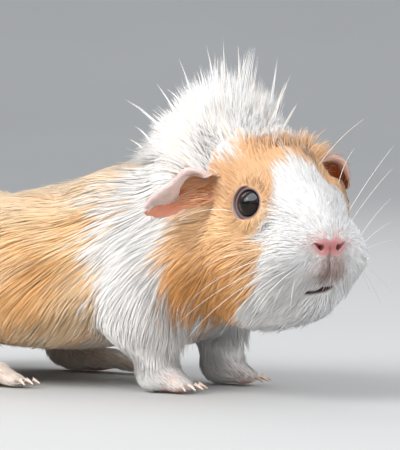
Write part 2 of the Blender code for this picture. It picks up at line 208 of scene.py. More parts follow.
# the lie of the coat. Each row holds a place, which way the hair runs there, its length
# and how deep the coat is, in mm; a row off the middle stands for both sides
headCoat = {
    "noseTop": ((60, 0, 58), (-1, 0, 0.5), 2.0, 0.35),
    "bridge": ((50, 0, 66), (-1, 0, 0.7), 4.2, 0.9),
    "forehead": ((36, 0, 79), (-1, 0, 0.6), 7, 1.6),
    "brow": ((32, 10, 81), (-0.8, 0.15, 0.7), 8, 1.8),
    "aboveEye": ((37, 15, 75), (-0.6, 0.1, 0.85), 5.5, 1.1),
    "frontOfEye": ((47, 13, 66), (-0.9, 0.3, 0.1), 4, 0.8),
    "belowEye": ((41, 18, 58), (-1, 0.1, -0.12), 6.5, 1.2),
    "behindEye": ((26, 19, 68), (-0.75, 0.1, 0.5), 7.5, 1.5),
    "padTop": ((56, 12, 54), (-0.9, 0.4, 0.05), 4, 0.8),
    "whiskerPad": ((55, 15, 48), (-0.85, 0.4, -0.4), 6, 1.1),
    "upperLip": ((60, 4, 47), (-0.2, 0.5, -0.85), 2.6, 0.5),
    "lipSide": ((55, 11, 42), (-0.7, 0.3, -0.75), 8, 1.3),
    "chin": ((52, 5, 33), (-0.75, 0.15, -0.65), 11, 1.8),
    "jawLow": ((44, 12, 32), (-0.8, 0.1, -0.6), 14, 2.5),
    "jawSide": ((40, 18, 40), (-0.8, 0.1, -0.6), 13, 2.2),
    "cheek": ((30, 24, 52), (-0.9, 0.1, -0.3), 11, 2.0),
    "cheekLow": ((22, 22, 38), (-0.7, 0, -0.7), 16, 3.0),
    "cheekRear": ((10, 24, 48), (-0.7, 0.1, -0.65), 17, 3.2),
    "belowEar": ((12, 22, 62), (-0.85, 0.1, -0.35), 13, 2.4),
    "earRoot": ((17, 17, 73), (-0.8, 0.3, 0.35), 7, 1.6),
    "temple": ((22, 13, 84), (-0.75, 0.2, 0.6), 9, 2.2),
    "throat": ((25, 0, 28), (-0.75, 0, -0.5), 13, 3.0),
}
trunkCoat = {
    "nape": ((28, 0, 84), (-1, 0, -0.1), 26, 3.6),
    "neckSide": ((42, 27, 60), (-0.75, 0.2, -0.65), 26, 3.3),
    "neckLow": ((48, 22, 36), (-0.45, 0.1, -0.9), 22, 3.3),
    "chest": ((54, 0, 26), (-0.5, 0, -0.9), 15, 2.9),
    "withers": ((6, 0, 80), (-1, 0, -0.1), 30, 4.9),
    "shoulder": ((8, 34, 58), (-0.85, 0.1, -0.45), 28, 4.9),
    "shoulderLow": ((8, 42, 30), (-0.5, 0.1, -0.85), 25, 4.3),
    "back": ((-35, 0, 70), (-1, 0, -0.03), 28, 4.9),
    "flank": ((-35, 45, 50), (-0.88, 0.1, -0.4), 28, 4.9),
    "flankLow": ((-30, 46, 24), (-0.6, 0.1, -0.8), 24, 3.9),
    "rumpTop": ((-78, 0, 66), (-1, 0, -0.3), 26, 4.6),
    "rumpSide": ((-82, 40, 45), (-0.75, 0, -0.65), 24, 4.6),
    "rumpEnd": ((-108, 0, 38), (-0.35, 0, -0.95), 20, 3.9),
    "thigh": ((-58, 50, 24), (-0.55, 0.1, -0.85), 18, 3.3),
    "belly": ((-20, 0, 12), (-1, 0, 0), 12, 2.5),
    "foreleg": ((36, 24, 17), (-0.15, 0.1, -1), 7, 1.5),
    "shank": ((-46, 36, 13), (-0.2, 0.1, -1), 8, 1.8),
    "forefoot": ((42, 20, 6), (0.8, 0, -0.35), 2.4, 0.3),
    "hindfoot": ((-30, 34, 6), (0.9, 0, -0.3), 2.6, 0.35),
}
lie = {
    "falloff": 1.6,               # how fast a row's say fades with distance
    "spread": 3.0,
    "eyeParting": ((11, 5.5), 1.8),     # within this of the eye's axis, hair turns away from it
    "shortByEye": ((8, 5.6), 0.5),      # where the hair gets shorter, and its share of the length
    "shortByNose": ((2.4, 1.1), 0.4),
    "shortByMouth": ((3.5, 1.2), 0.55),
    "swirl": 0.16,
    "swirlSize": 7,
}


def coatGuides():
    rows = []
    for table, place, turn in ((headCoat, fromHead, headAxes), (trunkCoat, fromTrunk, np.eye(3))):
        for at, way, length, depth in table.values():
            for side in ((1,) if at[1] == 0 else (1, -1)):
                flip = np.array([1, side, 1])
                rows.append((*place(at * flip), *unit(np.array(way, float) * flip) @ turn, length, depth))
    return np.array(rows)


guides = coatGuides()


def coatAt(points):
    # the run, length and depth of the coat at these points, blended from the nearest guides
    run, size = np.zeros((len(points), 3)), np.zeros((len(points), 2))
    total = np.zeros((len(points), 1))
    for row in guides:
        gap = np.linalg.norm(points - row[:3], axis=1)[:, None] / mm
        weight = 1 / (gap**2 + lie["spread"] ** 2) ** lie["falloff"]
        run += weight * row[3:6]
        size += weight * row[6:8]
        total += weight
    return unit(run), size / total


# the markings, with painted shade on the face and painted light along the back, the same on skin and coat

tones = {
    "white": linear((238, 236, 235)),
    "ruffWhite": linear((248, 245, 242)),
    "apricot": linear((250, 204, 156)),
    "apricotBrow": linear((232, 184, 138)),
    "apricotDeep": linear((234, 168, 98)),
    "trunk": linear((254, 221, 180)),
    "trunkLitTop": linear((253, 226, 196)),
    "trunkDeep": linear((246, 186, 120)),
    # grey skin through the short hair under the nose, darkened further as painted shade
    "muzzleShade": linear((174, 152, 146)),
    "padFringe": linear((224, 172, 168)),
}
marks = {
    # the blaze down the face: heights, then its middle and its half width there
    "blaze": ((54, 60, 66, 69, 73, 76, 78.6, 82, 84),
              (0, 0, 0, 0.8, -0.3, -1.8, -2.4, -0.8, -0.8),
              (18.3, 16.3, 14.8, 14.0, 11.4, 8.4, 5.6, 0.6, 0)),
    # other edges of the orange: heights, and how far ahead the edge is there
    "muzzle": ((24, 29, 34, 38, 44, 47, 51.3, 54, 58), (19, 22, 33, 38, 40, 44, 50, 42, 41)),
    "cheekRear": ((20, 57, 60, 66, 72, 77.5, 80, 82.5, 85.2, 90), (-3, -3, 0, 6, 12, 15, 18, 22, 28, 32)),
    "ruffRear": ((17, 32, 47, 58, 73, 80), (8, 20, 17, 18, 20, 32)),
    "stray": ((1.6, 5), (0.8, 2.1)),    # how far the edges stray, and over what distance
    "ruffStray": (3.5, 9),
    "blazeWithin": (20, 88),            # no further back, and no higher
    "blazeFrom": (53, 55),              # heights over which the blaze takes over from the muzzle
    "muzzleTo": (57, 55),
    "chin": (0.7, 13, (42, 35)),        # white further back under the chin: share, half width, heights
    "throat": (27, 21),                 # white below, no further back than the next
    "throatBack": -3,
    "browHeight": (60, 72),             # the orange is greyer on the brow, and deeper low on the cheeks and further back, partly painted shade
    "deepHeight": (62, 34),
    "deepBack": (44, 20),
    "byEye": ((36, 66), (9, 4), 12),    # and round the eyes: middle, reach and how far out it starts
    "shadeHeight": ((52, 47), (38.5, 42)),      # darker between the nose and the mouth: grey skin through short hair, and painted shade under the nose
    "shadeAhead": (52, 57),
    "shadeAcross": (0.4, (9.5, 2.5)),
    "fringe": (0.65, (1.7, 1.0), (51, 53)),     # pink hair round the pad: strength, reach and heights
    "belly": (16, 9),
    "streaks": (8, (-0.6, 0.8)),        # size and contrast
    # paler along the top of the back: painted light where the light falls from above
    "litBackTop": (60, 71),
    "headEnds": (-5.5, -3.5),           # where head gives way to trunk
}


def whiteOnHead(local):
    # the share of white over orange: blaze, muzzle, behind the cheeks and under the throat
    x, y, z = local.T
    (coarse, coarseSize), (fine, fineSize) = marks["stray"]
    stray = coarse * ripple(local, coarseSize) + fine * ripple(local[:, [1, 2, 0]], fineSize)
    heights, middles, halfWidths = marks["blaze"]
    blaze = np.interp(z, heights, halfWidths) - np.abs(y - np.interp(z, heights, middles))
    back, top = marks["blazeWithin"]
    blaze = ease(-0.8, 0.8, blaze + 0.5 * stray) * (z < top) * (x > back) * ease(*marks["blazeFrom"], z)
    share, halfWidth, chinHeights = marks["chin"]
    chin = share * np.clip(halfWidth - np.abs(y), 0, halfWidth) * ease(*chinHeights, z)
    muzzle = ease(-1.5, 1.5, x - np.interp(z, *marks["muzzle"]) + chin + 1.5 * stray)
    muzzle = muzzle * ease(*marks["muzzleTo"], z)
    behind = ease(1.5, -1.5, x - np.interp(z, *marks["cheekRear"]) + stray)
    throat = ease(*marks["throat"], z + stray) * (x > marks["throatBack"])
    return np.maximum.reduce((blaze, muzzle, behind, throat))


def headMarkingsAndShade(local):
    x, y, z = local.T
    (eyeX, eyeZ), eyeReach, eyeSide = marks["byEye"]
    # the orange deepens low on the cheeks and further back, partly the hair's own colour and partly painted
    # shade; it also deepens round the eyes
    deep = ease(*marks["deepHeight"], z) * ease(*marks["deepBack"], x)
    deep = deep + 0.5 * ease(*eyeReach, np.hypot(x - eyeX, z - eyeZ)) * (np.abs(y) > eyeSide)
    orange = tinted(tones["apricot"], tones["apricotBrow"], ease(*marks["browHeight"], z))
    orange = tinted(orange, tones["apricotDeep"], np.clip(deep, 0, 1))
    head = tinted(orange, tones["white"], whiteOnHead(local))
    # painted shade under the nose, laid over the hair's own greyer tone there
    below, above = marks["shadeHeight"]
    aside, across = marks["shadeAcross"]
    shade = ease(*below, z) * ease(*marks["shadeAhead"], x)
    shade = shade * ease(*across, np.abs(y + aside)) * ease(*above, z)
    head = tinted(head, tones["muzzleShade"], shade)
    reach, ahead = nosePad(local)
    strength, around, heights = marks["fringe"]
    return tinted(head, tones["padFringe"], strength * ease(*around, reach) * ease(*heights, z) * ahead)


def trunkMarkingsAndLight(points):
    torso = toTrunk(points)
    x, y, z = torso.T
    far, size = marks["ruffStray"]
    stray = far * ripple(torso, size)
    ruff = ease(-2.5, 2.5, x - np.interp(z, *marks["ruffRear"]) + stray)
    belly = ease(*marks["belly"], z + 0.5 * stray)
    size, contrast = marks["streaks"]
    streak = ripple(np.stack([x * 0.3 - z * 0.3, y, z + 0.3 * x], axis=1), size)
    streak = streak + 0.3 * ripple(points / mm, 3)
    trunk = tinted(tones["trunk"], tones["trunkDeep"], ease(*contrast, streak))
    # painted light: the top of the back is made paler, as if lit from above
    trunk = tinted(trunk, tones["trunkLitTop"], 0.8 * ease(*marks["litBackTop"], z))
    return tinted(trunk, tones["ruffWhite"], np.maximum(ruff, belly * 0.7))


def markingsLightAndShade(points):
    local = toHead(points)
    return tinted(trunkMarkingsAndLight(points), headMarkingsAndShade(local), ease(*marks["headEnds"], local[:, 0]))


# the skin

skinShape = {
    "puff": 0.22,         # closes the gaps between the solids
    "firstVoxel": 1.5,
    "lastVoxel": 1.0,
    "smoothRounds": (6, 5),     # after the first voxels and after the last
    "insetSteps": 8,
    "evenDepth": 12,      # rounds that even out the coat's depth before it is taken off
    "thinByEye": (11, 6),       # distance from the eye's axis over which the coat gives way to bare lids
    "noFurDepth": 0.25,
    "socketFill": 5.2,    # ball that fills each socket before the lids are shaped
}
fleshKinds = ("barrel", "rump", "shoulders", "neck", "head", "jaw", "nose",
              "thigh", "foreleg", "forefoot", "hindfoot")
fleshNodes = sorted(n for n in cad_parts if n.split("_")[0] in fleshKinds)


def gatheredFlesh():
    whole = bmesh.new()
    for node in fleshNodes:
        bm = bmesh.new()
        bm.from_mesh(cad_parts[node].data)
        bmesh.ops.remove_doubles(bm, verts=bm.verts[:], dist=1e-6)
        bm.normal_update()
        for v in bm.verts:
            v.co += v.normal * skinShape["puff"] * mm
        mesh = bpy.data.meshes.new(node + "Copy")
        bm.to_mesh(mesh)
        bm.free()
        whole.from_mesh(mesh)
        bpy.data.meshes.remove(mesh)
    for side in sides:
        bmesh.ops.create_icosphere(whole, subdivisions=4, radius=skinShape["socketFill"] * mm,
                                   matrix=Matrix.Translation(eyeMiddles[side]))
    return objectOf(whole, "skin")


eyeLids = {
    "turnedAhead": 20,    # degrees
    "turnedUp": 8,
    "rear": (-0.1, 0.7),  # how far rearwards the rear of the eye starts and is full
    "opening": 4.3,       # half width of the ball that shows
    "innerBall": 4.55,    # the skin's own ball, under the eyeball
    "edge": (-0.12, 0.22),      # from the opening, where the ball gives way to the rim
    "rim": (2.62, 0.5, 0.055),  # its height, how far from the opening its top is, and how it falls away
    "rearRidge": (0.35, 6.5, 0.55),     # height, distance from the axis and width
    "crease": (0.45, 5.65, 0.28),
    "creaseInFront": 0.35,      # its depth in front, as a share
    "bareTo": 5.15,       # end of the bare rim in front
    "bareRear": 1.4,      # and how much wider it is at the rear
    "blendsFrom": 6.0,
    # the left lids stop short of their brow, which slopes in, and their eye sits a little deeper
    "blendsTo": {"right": 11.5, "left": 8.6},
    "deeper": {"right": 0, "left": 0.8},
    "sinks": 1.3,         # how much further the skin's ball goes in than the eyeball
}


def eyeAxis(side):
    # the way the opening of the lids faces: outwards, a little forwards and up
    ahead, rise = (math.radians(eyeLids[k]) for k in ("turnedAhead", "turnedUp"))
    way = (math.sin(ahead) * math.cos(rise), side * math.cos(ahead) * math.cos(rise), math.sin(rise))
    return np.array(way)


def aroundEye(local, side):
    # each point's height along the eye's axis and distance from it, in mm, and how far round
    # it is towards the rear and towards below
    centre = np.array(toHead(eyeMiddles["left" if side > 0 else "right"]))
    axis = eyeAxis(side)
    v = local - centre
    height = v @ axis
    flat = v - height[:, None] * axis
    across = np.linalg.norm(flat, axis=1)
    rearwards, lower = (-flat[:, k] / np.maximum(across, 1e-6) for k in (0, 2))
    return SimpleNamespace(axis=axis, height=height, flat=flat, across=across,
                           rear=ease(*eyeLids["rear"], rearwards), lower=lower)


def insetByCoat(points, triangles):
    edges = edgesOf(triangles)
    depth = coatAt(points)[1][:, 1:2]
    for side in sides.values():
        eye = aroundEye(toHead(points), side)
        near = ease(*skinShape["thinByEye"], eye.across) * (eye.height > -3)
        depth = mix(depth, skinShape["noFurDepth"], near[:, None])
    depth = relaxed(depth, edges, 0.5, skinShape["evenDepth"])
    for _ in range(skinShape["insetSteps"]):
        normals = normalsOf(points, triangles)
        points = points - normals * depth * mm / skinShape["insetSteps"]
        points = relaxed(points, edges, 0.25 * np.clip(depth / 4, 0.15, 1), 2)
    points[:, 2] = np.maximum(points[:, 2], 0)
    return points


def shapedSkin():
    skin = gatheredFlesh()
    first, last = skinShape["smoothRounds"]
    modify(skin, "REMESH", mode="VOXEL", voxel_size=skinShape["firstVoxel"] * mm)
    modify(skin, "SMOOTH", factor=0.5, iterations=first)
    applyModifiers(skin)
    setPoints(skin.data, insetByCoat(*arraysOf(skin.data)))
    modify(skin, "REMESH", mode="VOXEL", voxel_size=skinShape["lastVoxel"] * mm)
    modify(skin, "SMOOTH", factor=0.5, iterations=last)
    modify(skin, "TRIANGULATE")
    return applyModifiers(skin)


# the face: where the mesh is made finer, then the brow, lids, nose and mouth are worked in

noseShape = {
    "middle": -1.2,       # sideways, in the head's frame
    "height": 52.4,
    "halfWidth": 5.9,
    "halfHeight": 3.2,
    "dip": (1.05, 0.35, 1.6),     # the pad's top edge, and its dip in the middle
    "from": 55,           # the pad is ahead of here, and the nostrils ahead of the next
    "nostrilsFrom": 56.5,
    "nostril": (3.3, 2.1, 52.0, 1.5),   # place sideways, the tail's run, height, the tail's rise
    "nostrilRadius": (0.92, 0.34),
    "nostrilDepth": 1.7,
    "nostrilEdge": (1.4, 0.5),    # counted in its radius
    "tailDepth": 0.4,     # how deep the tail's end is, as a share
}
mouthShape = {
    "line": ((52.6, -6.6, 38.1), (54.5, -4.4, 37.8), (56, -1.6, 38.1), (55.2, 1.0, 38.7), (53.5, 3.0, 39.6)),
    "aheadShare": 0.3,    # how much the distance forwards counts
    "from": 44,           # the mouth is ahead of here
    "depth": 2.2,
    "halfWidth": 0.78,
    "lowerLip": (0.45, (0.8, 0, 2.2), 1.6),     # height, its line's place from the mouth's, and width
}
muzzleShape = {
    # how far each part swells in mm, then its middle across and up, and its widths
    "pad": 0.22,
    "padStep": (1.2, 0.8),      # its soft edge, counted in the pad's own size
    "wings": (0.38, (4.4, 53.4), (1.9, 1.7)),
    "lips": (1.2, (2.8, 45.5), (2.4, 3.2)),
    "cleft": (0.75, 0.5, (42.9, 44.9), (53.0, 51.5)),     # depth, width, and where it starts and ends
}
fineMesh = {
    # passes, each over less of the face; middles and half sizes of what is made finer
    "passes": (1.0, 0.62),
    "eye": 11,
    "nose": ((60, -1.2, 51), (7, 10, 7.5), 1.15),
    "mouth": ((54, -1, 39), (8, 13, 5), 1.1),
    # smoothed ahead of here, by which share and how often: once finer, and once the face is worked in
    "evened": (15, 0.5, 4),
    "evenedLast": (25, 0.3, 1),
}


def evened(points, triangles, ahead, share, rounds):
    shares = np.where(toHead(points)[:, 0] > ahead, share, 0.0)[:, None]
    return relaxed(points, edgesOf(triangles), shares, rounds)


def fineFace(skin):
    bm = bmesh.new()
    bm.from_mesh(skin.data)
    for reach in fineMesh["passes"]:
        local = toHead(np.array([v.co for v in bm.verts]))
        near = np.zeros(len(local), bool)
        for side in sides.values():
            eye = aroundEye(local, side)
            near |= (eye.across < fineMesh["eye"] * reach) & (eye.height > -1)
        for middle, halfSizes, share in (fineMesh["nose"], fineMesh["mouth"]):
            near |= np.linalg.norm((local - middle) / halfSizes, axis=1) < reach * share
        bm.edges.ensure_lookup_table()
        chosen = [e for e in bm.edges if near[e.verts[0].index] and near[e.verts[1].index]]
        bmesh.ops.subdivide_edges(bm, edges=chosen, cuts=1, use_grid_fill=True)
        bmesh.ops.triangulate(bm, faces=[f for f in bm.faces if len(f.verts) > 3])
        bm.verts.index_update()
    bm.to_mesh(skin.data)
    bm.free()
    points, triangles = arraysOf(skin.data)
    return evened(points, triangles, *fineMesh["evened"]), triangles


# the left brow slopes in more than its solids do
browShape = {"middle": (43, 15, 79), "reach": (13, 12, 12), "way": (0.5, 0.8, 0.35), "depth": 7.4,
             "clearOfEye": (5, 9)}


def shapeBrow(local):
    gap = np.linalg.norm((local - browShape["middle"]) / browShape["reach"], axis=1)
    clear = ease(*browShape["clearOfEye"], aroundEye(local, sides["left"]).across)
    push = browShape["depth"] * ease(1, 0.1, gap) * clear
    return local - unit(np.array(browShape["way"])) * push[:, None]


def lidHeight(eye, deeper):
    # the lid's section: under the ball, up to its edge, over the rim, down to the fold behind it
    across, edge = eye.across, eyeLids["opening"]
    ball = np.sqrt(np.maximum(eyeLids["innerBall"] ** 2 - across**2, 0.3)) - eyeLids["sinks"] * deeper
    ridge, ridgeAt, ridgeWidth = eyeLids["rearRidge"]
    top, topAt, fall = eyeLids["rim"]
    rim = top - fall * (across - edge - topAt) ** 2
    rim = rim + ridge * eye.rear * hump((across - ridgeAt) / ridgeWidth)
    depth, creaseAt, creaseWidth = eyeLids["crease"]
    crease = depth * hump((across - creaseAt) / creaseWidth) * mix(eyeLids["creaseInFront"], 1, eye.rear)
    inner, outer = eyeLids["edge"]
    return mix(ball, rim - crease, ease(edge + inner, edge + outer, across))


def shapeLids(local):
    for name, side in sides.items():
        eye = aroundEye(local, side)
        target = lidHeight(eye, eyeLids["deeper"][name])
        share = ease(eyeLids["blendsTo"][name], eyeLids["blendsFrom"], eye.across) * (eye.height > -2.5)
        local = local + eye.axis * ((target - eye.height) * share)[:, None]
    return local


def alongMouth(local):
    # distance of each point from the mouth's bent line, and where along it the nearest place is
    scale = (mouthShape["aheadShare"], 1, 1)
    best, where = np.full(len(local), 1e9), np.zeros(len(local))
    stops, local = np.array(mouthShape["line"], float) * scale, local * scale
    for i, (a, b) in enumerate(zip(stops, stops[1:])):
        t = np.clip((local - a) @ (b - a) / ((b - a) @ (b - a)), 0, 1)
        gap = np.linalg.norm(local - a - t[:, None] * (b - a), axis=1)
        closer = gap < best
        best[closer] = gap[closer]
        where[closer] = (i + t[closer]) / (len(stops) - 1)
    return best, where


def nostrilMask(local, side):
    # a comma: a round hole near the middle with a tail that runs out and up
    start, tail, height, rise = noseShape["nostril"]
    out = (local[:, 1] - noseShape["middle"]) * side
    t = np.clip((out - start) / tail, 0, 1)
    gap = np.hypot(out - np.clip(out, start, start + tail), local[:, 2] - (height + rise * t**1.3))
    hole = ease(*noseShape["nostrilEdge"], gap / mix(*noseShape["nostrilRadius"], t))
    return hole * mix(1, noseShape["tailDepth"], t) * (local[:, 0] > noseShape["nostrilsFrom"])


def nosePad(local):
    # how far out each point is, the pad's edge being at 1, and whether it is at the front at all
    full, dip, dipWidth = noseShape["dip"]
    y, z = local[:, 1] - noseShape["middle"], local[:, 2]
    top = noseShape["halfHeight"] * (full - dip * hump(y / dipWidth))
    reach = np.hypot(y / noseShape["halfWidth"], (z - noseShape["height"]) / top)
    return reach, local[:, 0] > noseShape["from"]


def swell(part, y, z):
    height, (middle, level), (wide, tall) = muzzleShape[part]
    return height * hump((y - middle) / wide, (z - level) / tall)


def shapeMuzzle(local, normals):
    # a soft step up to the bare pad, rounded wings round the nostrils, the cleft, the lips and the mouth
    reach, ahead = nosePad(local)
    y, z = local[:, 1] - noseShape["middle"], local[:, 2]
    out = muzzleShape["pad"] * ease(*muzzleShape["padStep"], reach) * ahead
    for side in (-1, 1):
        out += swell("wings", y * side, z) * ahead
        out -= noseShape["nostrilDepth"] * nostrilMask(local, side)
    depth, width, starts, ends = muzzleShape["cleft"]
    out -= depth * (hump(y / width) * ease(*starts, z) * ease(*ends, z) * ahead)
    out += swell("lips", np.abs(y), z) * ahead
    gap, where = alongMouth(local)
    thin = np.sin(np.pi * np.clip(where, 0.02, 0.98)) ** 0.5
    out -= mouthShape["depth"] * thin * hump(gap / mouthShape["halfWidth"])
    height, below, width = mouthShape["lowerLip"]
    out += height * (thin * (local[:, 0] > mouthShape["from"])) * hump(alongMouth(local + below)[0] / width)
    return local + normals @ headAxes.T * out[:, None]


def setPoints(mesh, points):
    mesh.vertices.foreach_set("co", points.astype(np.float32).ravel())
    mesh.update()


def sculptFace(skin):
    # works the face in, and gives the points of the whole body without the ears
    points, triangles = fineFace(skin)
    local = shapeLids(shapeBrow(toHead(points)))
    local = shapeMuzzle(local, normalsOf(fromHead(local), triangles))
    setPoints(skin.data, fromHead(local))
    points, triangles = arraysOf(skin.data)
    setPoints(skin.data, evened(points, triangles, *fineMesh["evenedLast"]))
    return points, triangles


# the ears, sheets that bend, cup and fold over at the rim

earShape = {
    "across": 44,
    "along": 40,
    "rootInside": -0.16,  # how far the root runs into the head, as a share of the ear's length
    "thickness": 0.75,
    "fold": (0.66, 0.78),       # where across the sheet the rim starts to turn, and has turned
    "crownAt": (0.24, 0.13),    # how far along the upper edge rises, and over what stretch
    "crownFrom": (0.33, 0.2),   # and from where across, and over what stretch
    "flatter": 0.45,      # how much flatter the cup gets towards the tip
    "waveRates": (9, 3),  # along and across
    "foldTurn": 0.93,     # how far the rim turns over, as a share of half a turn
    "lobeFrom": (0.36, 0.46),
    "frill": (0.25, 11),  # how much the flap's edge waves, and how fast
    "search": (60, 70),   # steps along and across, to find which points of the skin are on the ear
    "right": {
        "line": ((17, -17, 72), (8, -33, 71), (-1, -33, 61)),
        "rootAcross": (6, 0, 14),
        "tipAcross": (6, -7, 10),
        "halfWidth": 5.9,
        "crown": 0.62,    # how much the upper edge rises near the root
        "cup": 3.6,
        "flap": 4.6,      # width of the rim that is folded over
        "lobe": 1.65,     # how much wider it is towards the tip
        "foldRadius": 0.75,
        "waves": 0.55,
    },
    "left": {
        "line": ((18, 15, 76), (18, 30, 84), (20, 31, 69.5)),
        "rootAcross": (9, -2, 12),
        "tipAcross": (13, 2, 3),
        "halfWidth": 8.0,
        "crown": 0.0,
        "cup": 4.0,
        "flap": 1.6,
        "lobe": 1,
        "foldRadius": 0.7,
        "waves": 0.35,
    },
}


def bentLine(points, t):
    a, b, c = (np.array(p, float) for p in points)
    return a * (1 - t) ** 2 + b * 2 * t * (1 - t) + c * t**2


def earOutline(t):
    u = max(0.0, t)
    return (0.72 + 0.75 * u - 0.42 * u**2) * math.sqrt(max(0.0, 1 - u**3.2)) + 0.04


def earPoint(ear, t, v, side):
    # a place on the sheet: t from its root to its tip, v from the lower edge to the end of the folded rim
    middle, within = bentLine(ear["line"], t), min(1, max(0, t))
    ahead = bentLine(ear["line"], min(1, t + 0.02)) - bentLine(ear["line"], t - 0.02)
    ahead = ahead / np.linalg.norm(ahead)
    rootAcross, tipAcross = (unit(np.array(ear[key], float)) for key in ("rootAcross", "tipAcross"))
    across = mix(rootAcross, tipAcross, max(0, t))
    across = unit(across - ahead * (across @ ahead))
    facing = np.cross(across, ahead) * -side
    width = ear["halfWidth"] * earOutline(t)
    (crownAt, span), (crownFrom, rise) = earShape["crownAt"], earShape["crownFrom"]
    if v > crownFrom:
        crown = math.exp(-(((t - crownAt) / span) ** 2)) * min(1, (v - crownFrom) / rise)
        width *= 1 + ear["crown"] * crown
    cup = ear["cup"] * (1 - earShape["flatter"] * t) * math.sqrt(1 - within**8)
    rateAlong, rateAcross = earShape["waveRates"]
    wave = ear["waves"] * math.sin(t * rateAlong + v * rateAcross) * math.sin(math.pi * within)
    foldStart, foldEnd = earShape["fold"]
    if v <= foldStart:
        s = 2 * v / foldStart - 1
        return middle + across * width * s + facing * (cup * s * s + wave * s * s)
    # the rim turns over on a small radius and lies back on the sheet as a flap, fading out at both ends
    amount = math.sin(math.pi * min(1, max(0, (t - 0.05) / 0.93))) ** 0.8 * min(1, (1 - t) * 3)
    lobe = mix(1, ear["lobe"], ease(*earShape["lobeFrom"], t))
    frill, rate = earShape["frill"]
    flap = ear["flap"] * amount * (1 + frill * math.sin(t * rate + 1)) * lobe
    radius = ear["foldRadius"] * (0.35 + 0.65 * amount)
    rim = middle + across * width + facing * (cup + wave)
    slope = unit(np.array([width, 2 * cup]))    # the sheet's own slope where the rim starts
    outwards, lift = across * slope[0] + facing * slope[1], facing * slope[0] - across * slope[1]
    turn = math.pi * earShape["foldTurn"] * min(1, 2.5 * amount)
    bend = min(1, (v - foldStart) / (foldEnd - foldStart)) * turn
    point = rim + outwards * radius * math.sin(bend) + lift * radius * (1 - math.cos(bend))
    if v > foldEnd:
        run = (v - foldEnd) / (1 - foldEnd) * flap
        point = point + (outwards * math.cos(turn) + lift * math.sin(turn)) * run
    return point


def buildEar(name):
    side, ear = sides[name], earShape[name]
    bm = bmesh.new()
    bmesh.ops.create_grid(bm, x_segments=earShape["across"], y_segments=earShape["along"], size=0.5)
    for vertex in bm.verts:
        v, row = vertex.co.x + 0.5, vertex.co.y + 0.5
        vertex.co = Vector(fromHead(earPoint(ear, mix(earShape["rootInside"], 0.995, row), v, side)))
    piece = objectOf(bm, "ear" + name.capitalize())
    modify(piece, "SMOOTH", factor=0.5, iterations=3)
    modify(piece, "SOLIDIFY", thickness=earShape["thickness"] * mm, offset=0)
    modify(piece, "SMOOTH", factor=0.3, iterations=2)
    modify(piece, "TRIANGULATE")
    applyModifiers(piece)
    bm = bmesh.new()
    bm.from_mesh(piece.data)
    bmesh.ops.recalc_face_normals(bm, faces=bm.faces[:])
    bm.to_mesh(piece.data)
    bm.free()
    return piece


def joinEars(skin):
    ears = [buildEar(name) for name in sides]
    for ear in ears:
        modify(skin, "BOOLEAN", operation="UNION", object=ear, solver="MANIFOLD")
        applyModifiers(skin)
    for ear in ears:
        bpy.data.objects.remove(ear)
    modify(skin, "TRIANGULATE")
    applyModifiers(skin)


# body is the skin as sculpted, without the ears, and hide is the whole skin with them

body, hide = SimpleNamespace(), SimpleNamespace()
print("skin")
skin = shapedSkin()
body.points, body.triangles = sculptFace(skin)
body.normals = normalsOf(body.points, body.triangles)
print("ears")
joinEars(skin)
hide.points, hide.triangles = arraysOf(skin.data)
hide.normals = normalsOf(hide.points, hide.triangles)
print("  ", len(body.triangles), "triangles,", len(hide.triangles), "with the ears")

# the skin's colours and what is bare on it

bareTones = {
    "nose": linear((184, 118, 117)),
    "noseEdge": linear((202, 148, 146)),
    # inside the nostrils: the skin's own dark colour, deepened by painted shade in the holes
    "nostril": linear((96, 30, 30)),
    # painted shade in the mouth's slit and on the lips beside it
    "mouth": linear((60, 30, 26)),
    "lidRim": linear((122, 98, 98)),
    "lidCreaseShade": linear((70, 54, 56)),
    "lidRear": linear((158, 132, 132)),
    "earInside": linear((240, 168, 140)),
    "earCupShade": linear((228, 118, 72)),
    "earBack": linear((243, 216, 210)),
    "farEarShaded": linear((172, 100, 62)),
    "paw": linear((226, 168, 152)),
    "underCoat": linear((226, 190, 172)),
}
# where a patch of bare skin starts and is full, in mm or counted in the nose pad's own size
bareEdges = {
    "padTone": (0.35, 0.95),
    "pad": (1.22, 0.85),
    "padBare": (1.08, 0.94),
    "padWet": (1.1, 0.8),
    "hairline": (0.16, (53, 55)),       # how far hair comes down over the pad's top, and its heights
    "lip": (0.55, (44, 46), (51.5, 49.5), (2.6, 0.8)),      # share, heights and out from the middle
    # the painted shade round the mouth: where it starts and is full
    "mouth": (2.5, 0.8),
    "mouthBare": (1.6, 1.2),
    "lid": (0.5, -0.3),                 # from the end of the bare rim
    "lidWet": 0.6,
    # the lid's painted shade next to the ball, then the width of its band in the crease
    "innerLid": (4.95, 4.5),
    "foldWidth": 0.35,
    "crescent": (6.2, 0.5, (-0.5, 0.4)),        # the paler rear: distance, width, and from above to below
    "earCupShade": (0.26, 0.2, (0.95, 0.45)),       # painted shade deep in the cup, warm as if lit through the thin ear: place across, width, and places along
    "earRoot": (0.02, 0.1),
    "thinCoat": (0.55, (9, 2)),         # how much the skin shows through short hair, and its lengths
    "paw": (0.7, (11, 8), 70),          # share, heights, and how far ahead the feet end
    "sole": 2.0,
}
earTones = {    # the open face's tone, how much of the cup's painted shade it takes, and how far the back is painted darker
    "right": ("earInside", 0.95, 0),
    # the far ear is painted as a shaded copy of the near one, inside and on its back
    "left": ("farEarShaded", 0.4, 0.45),
}


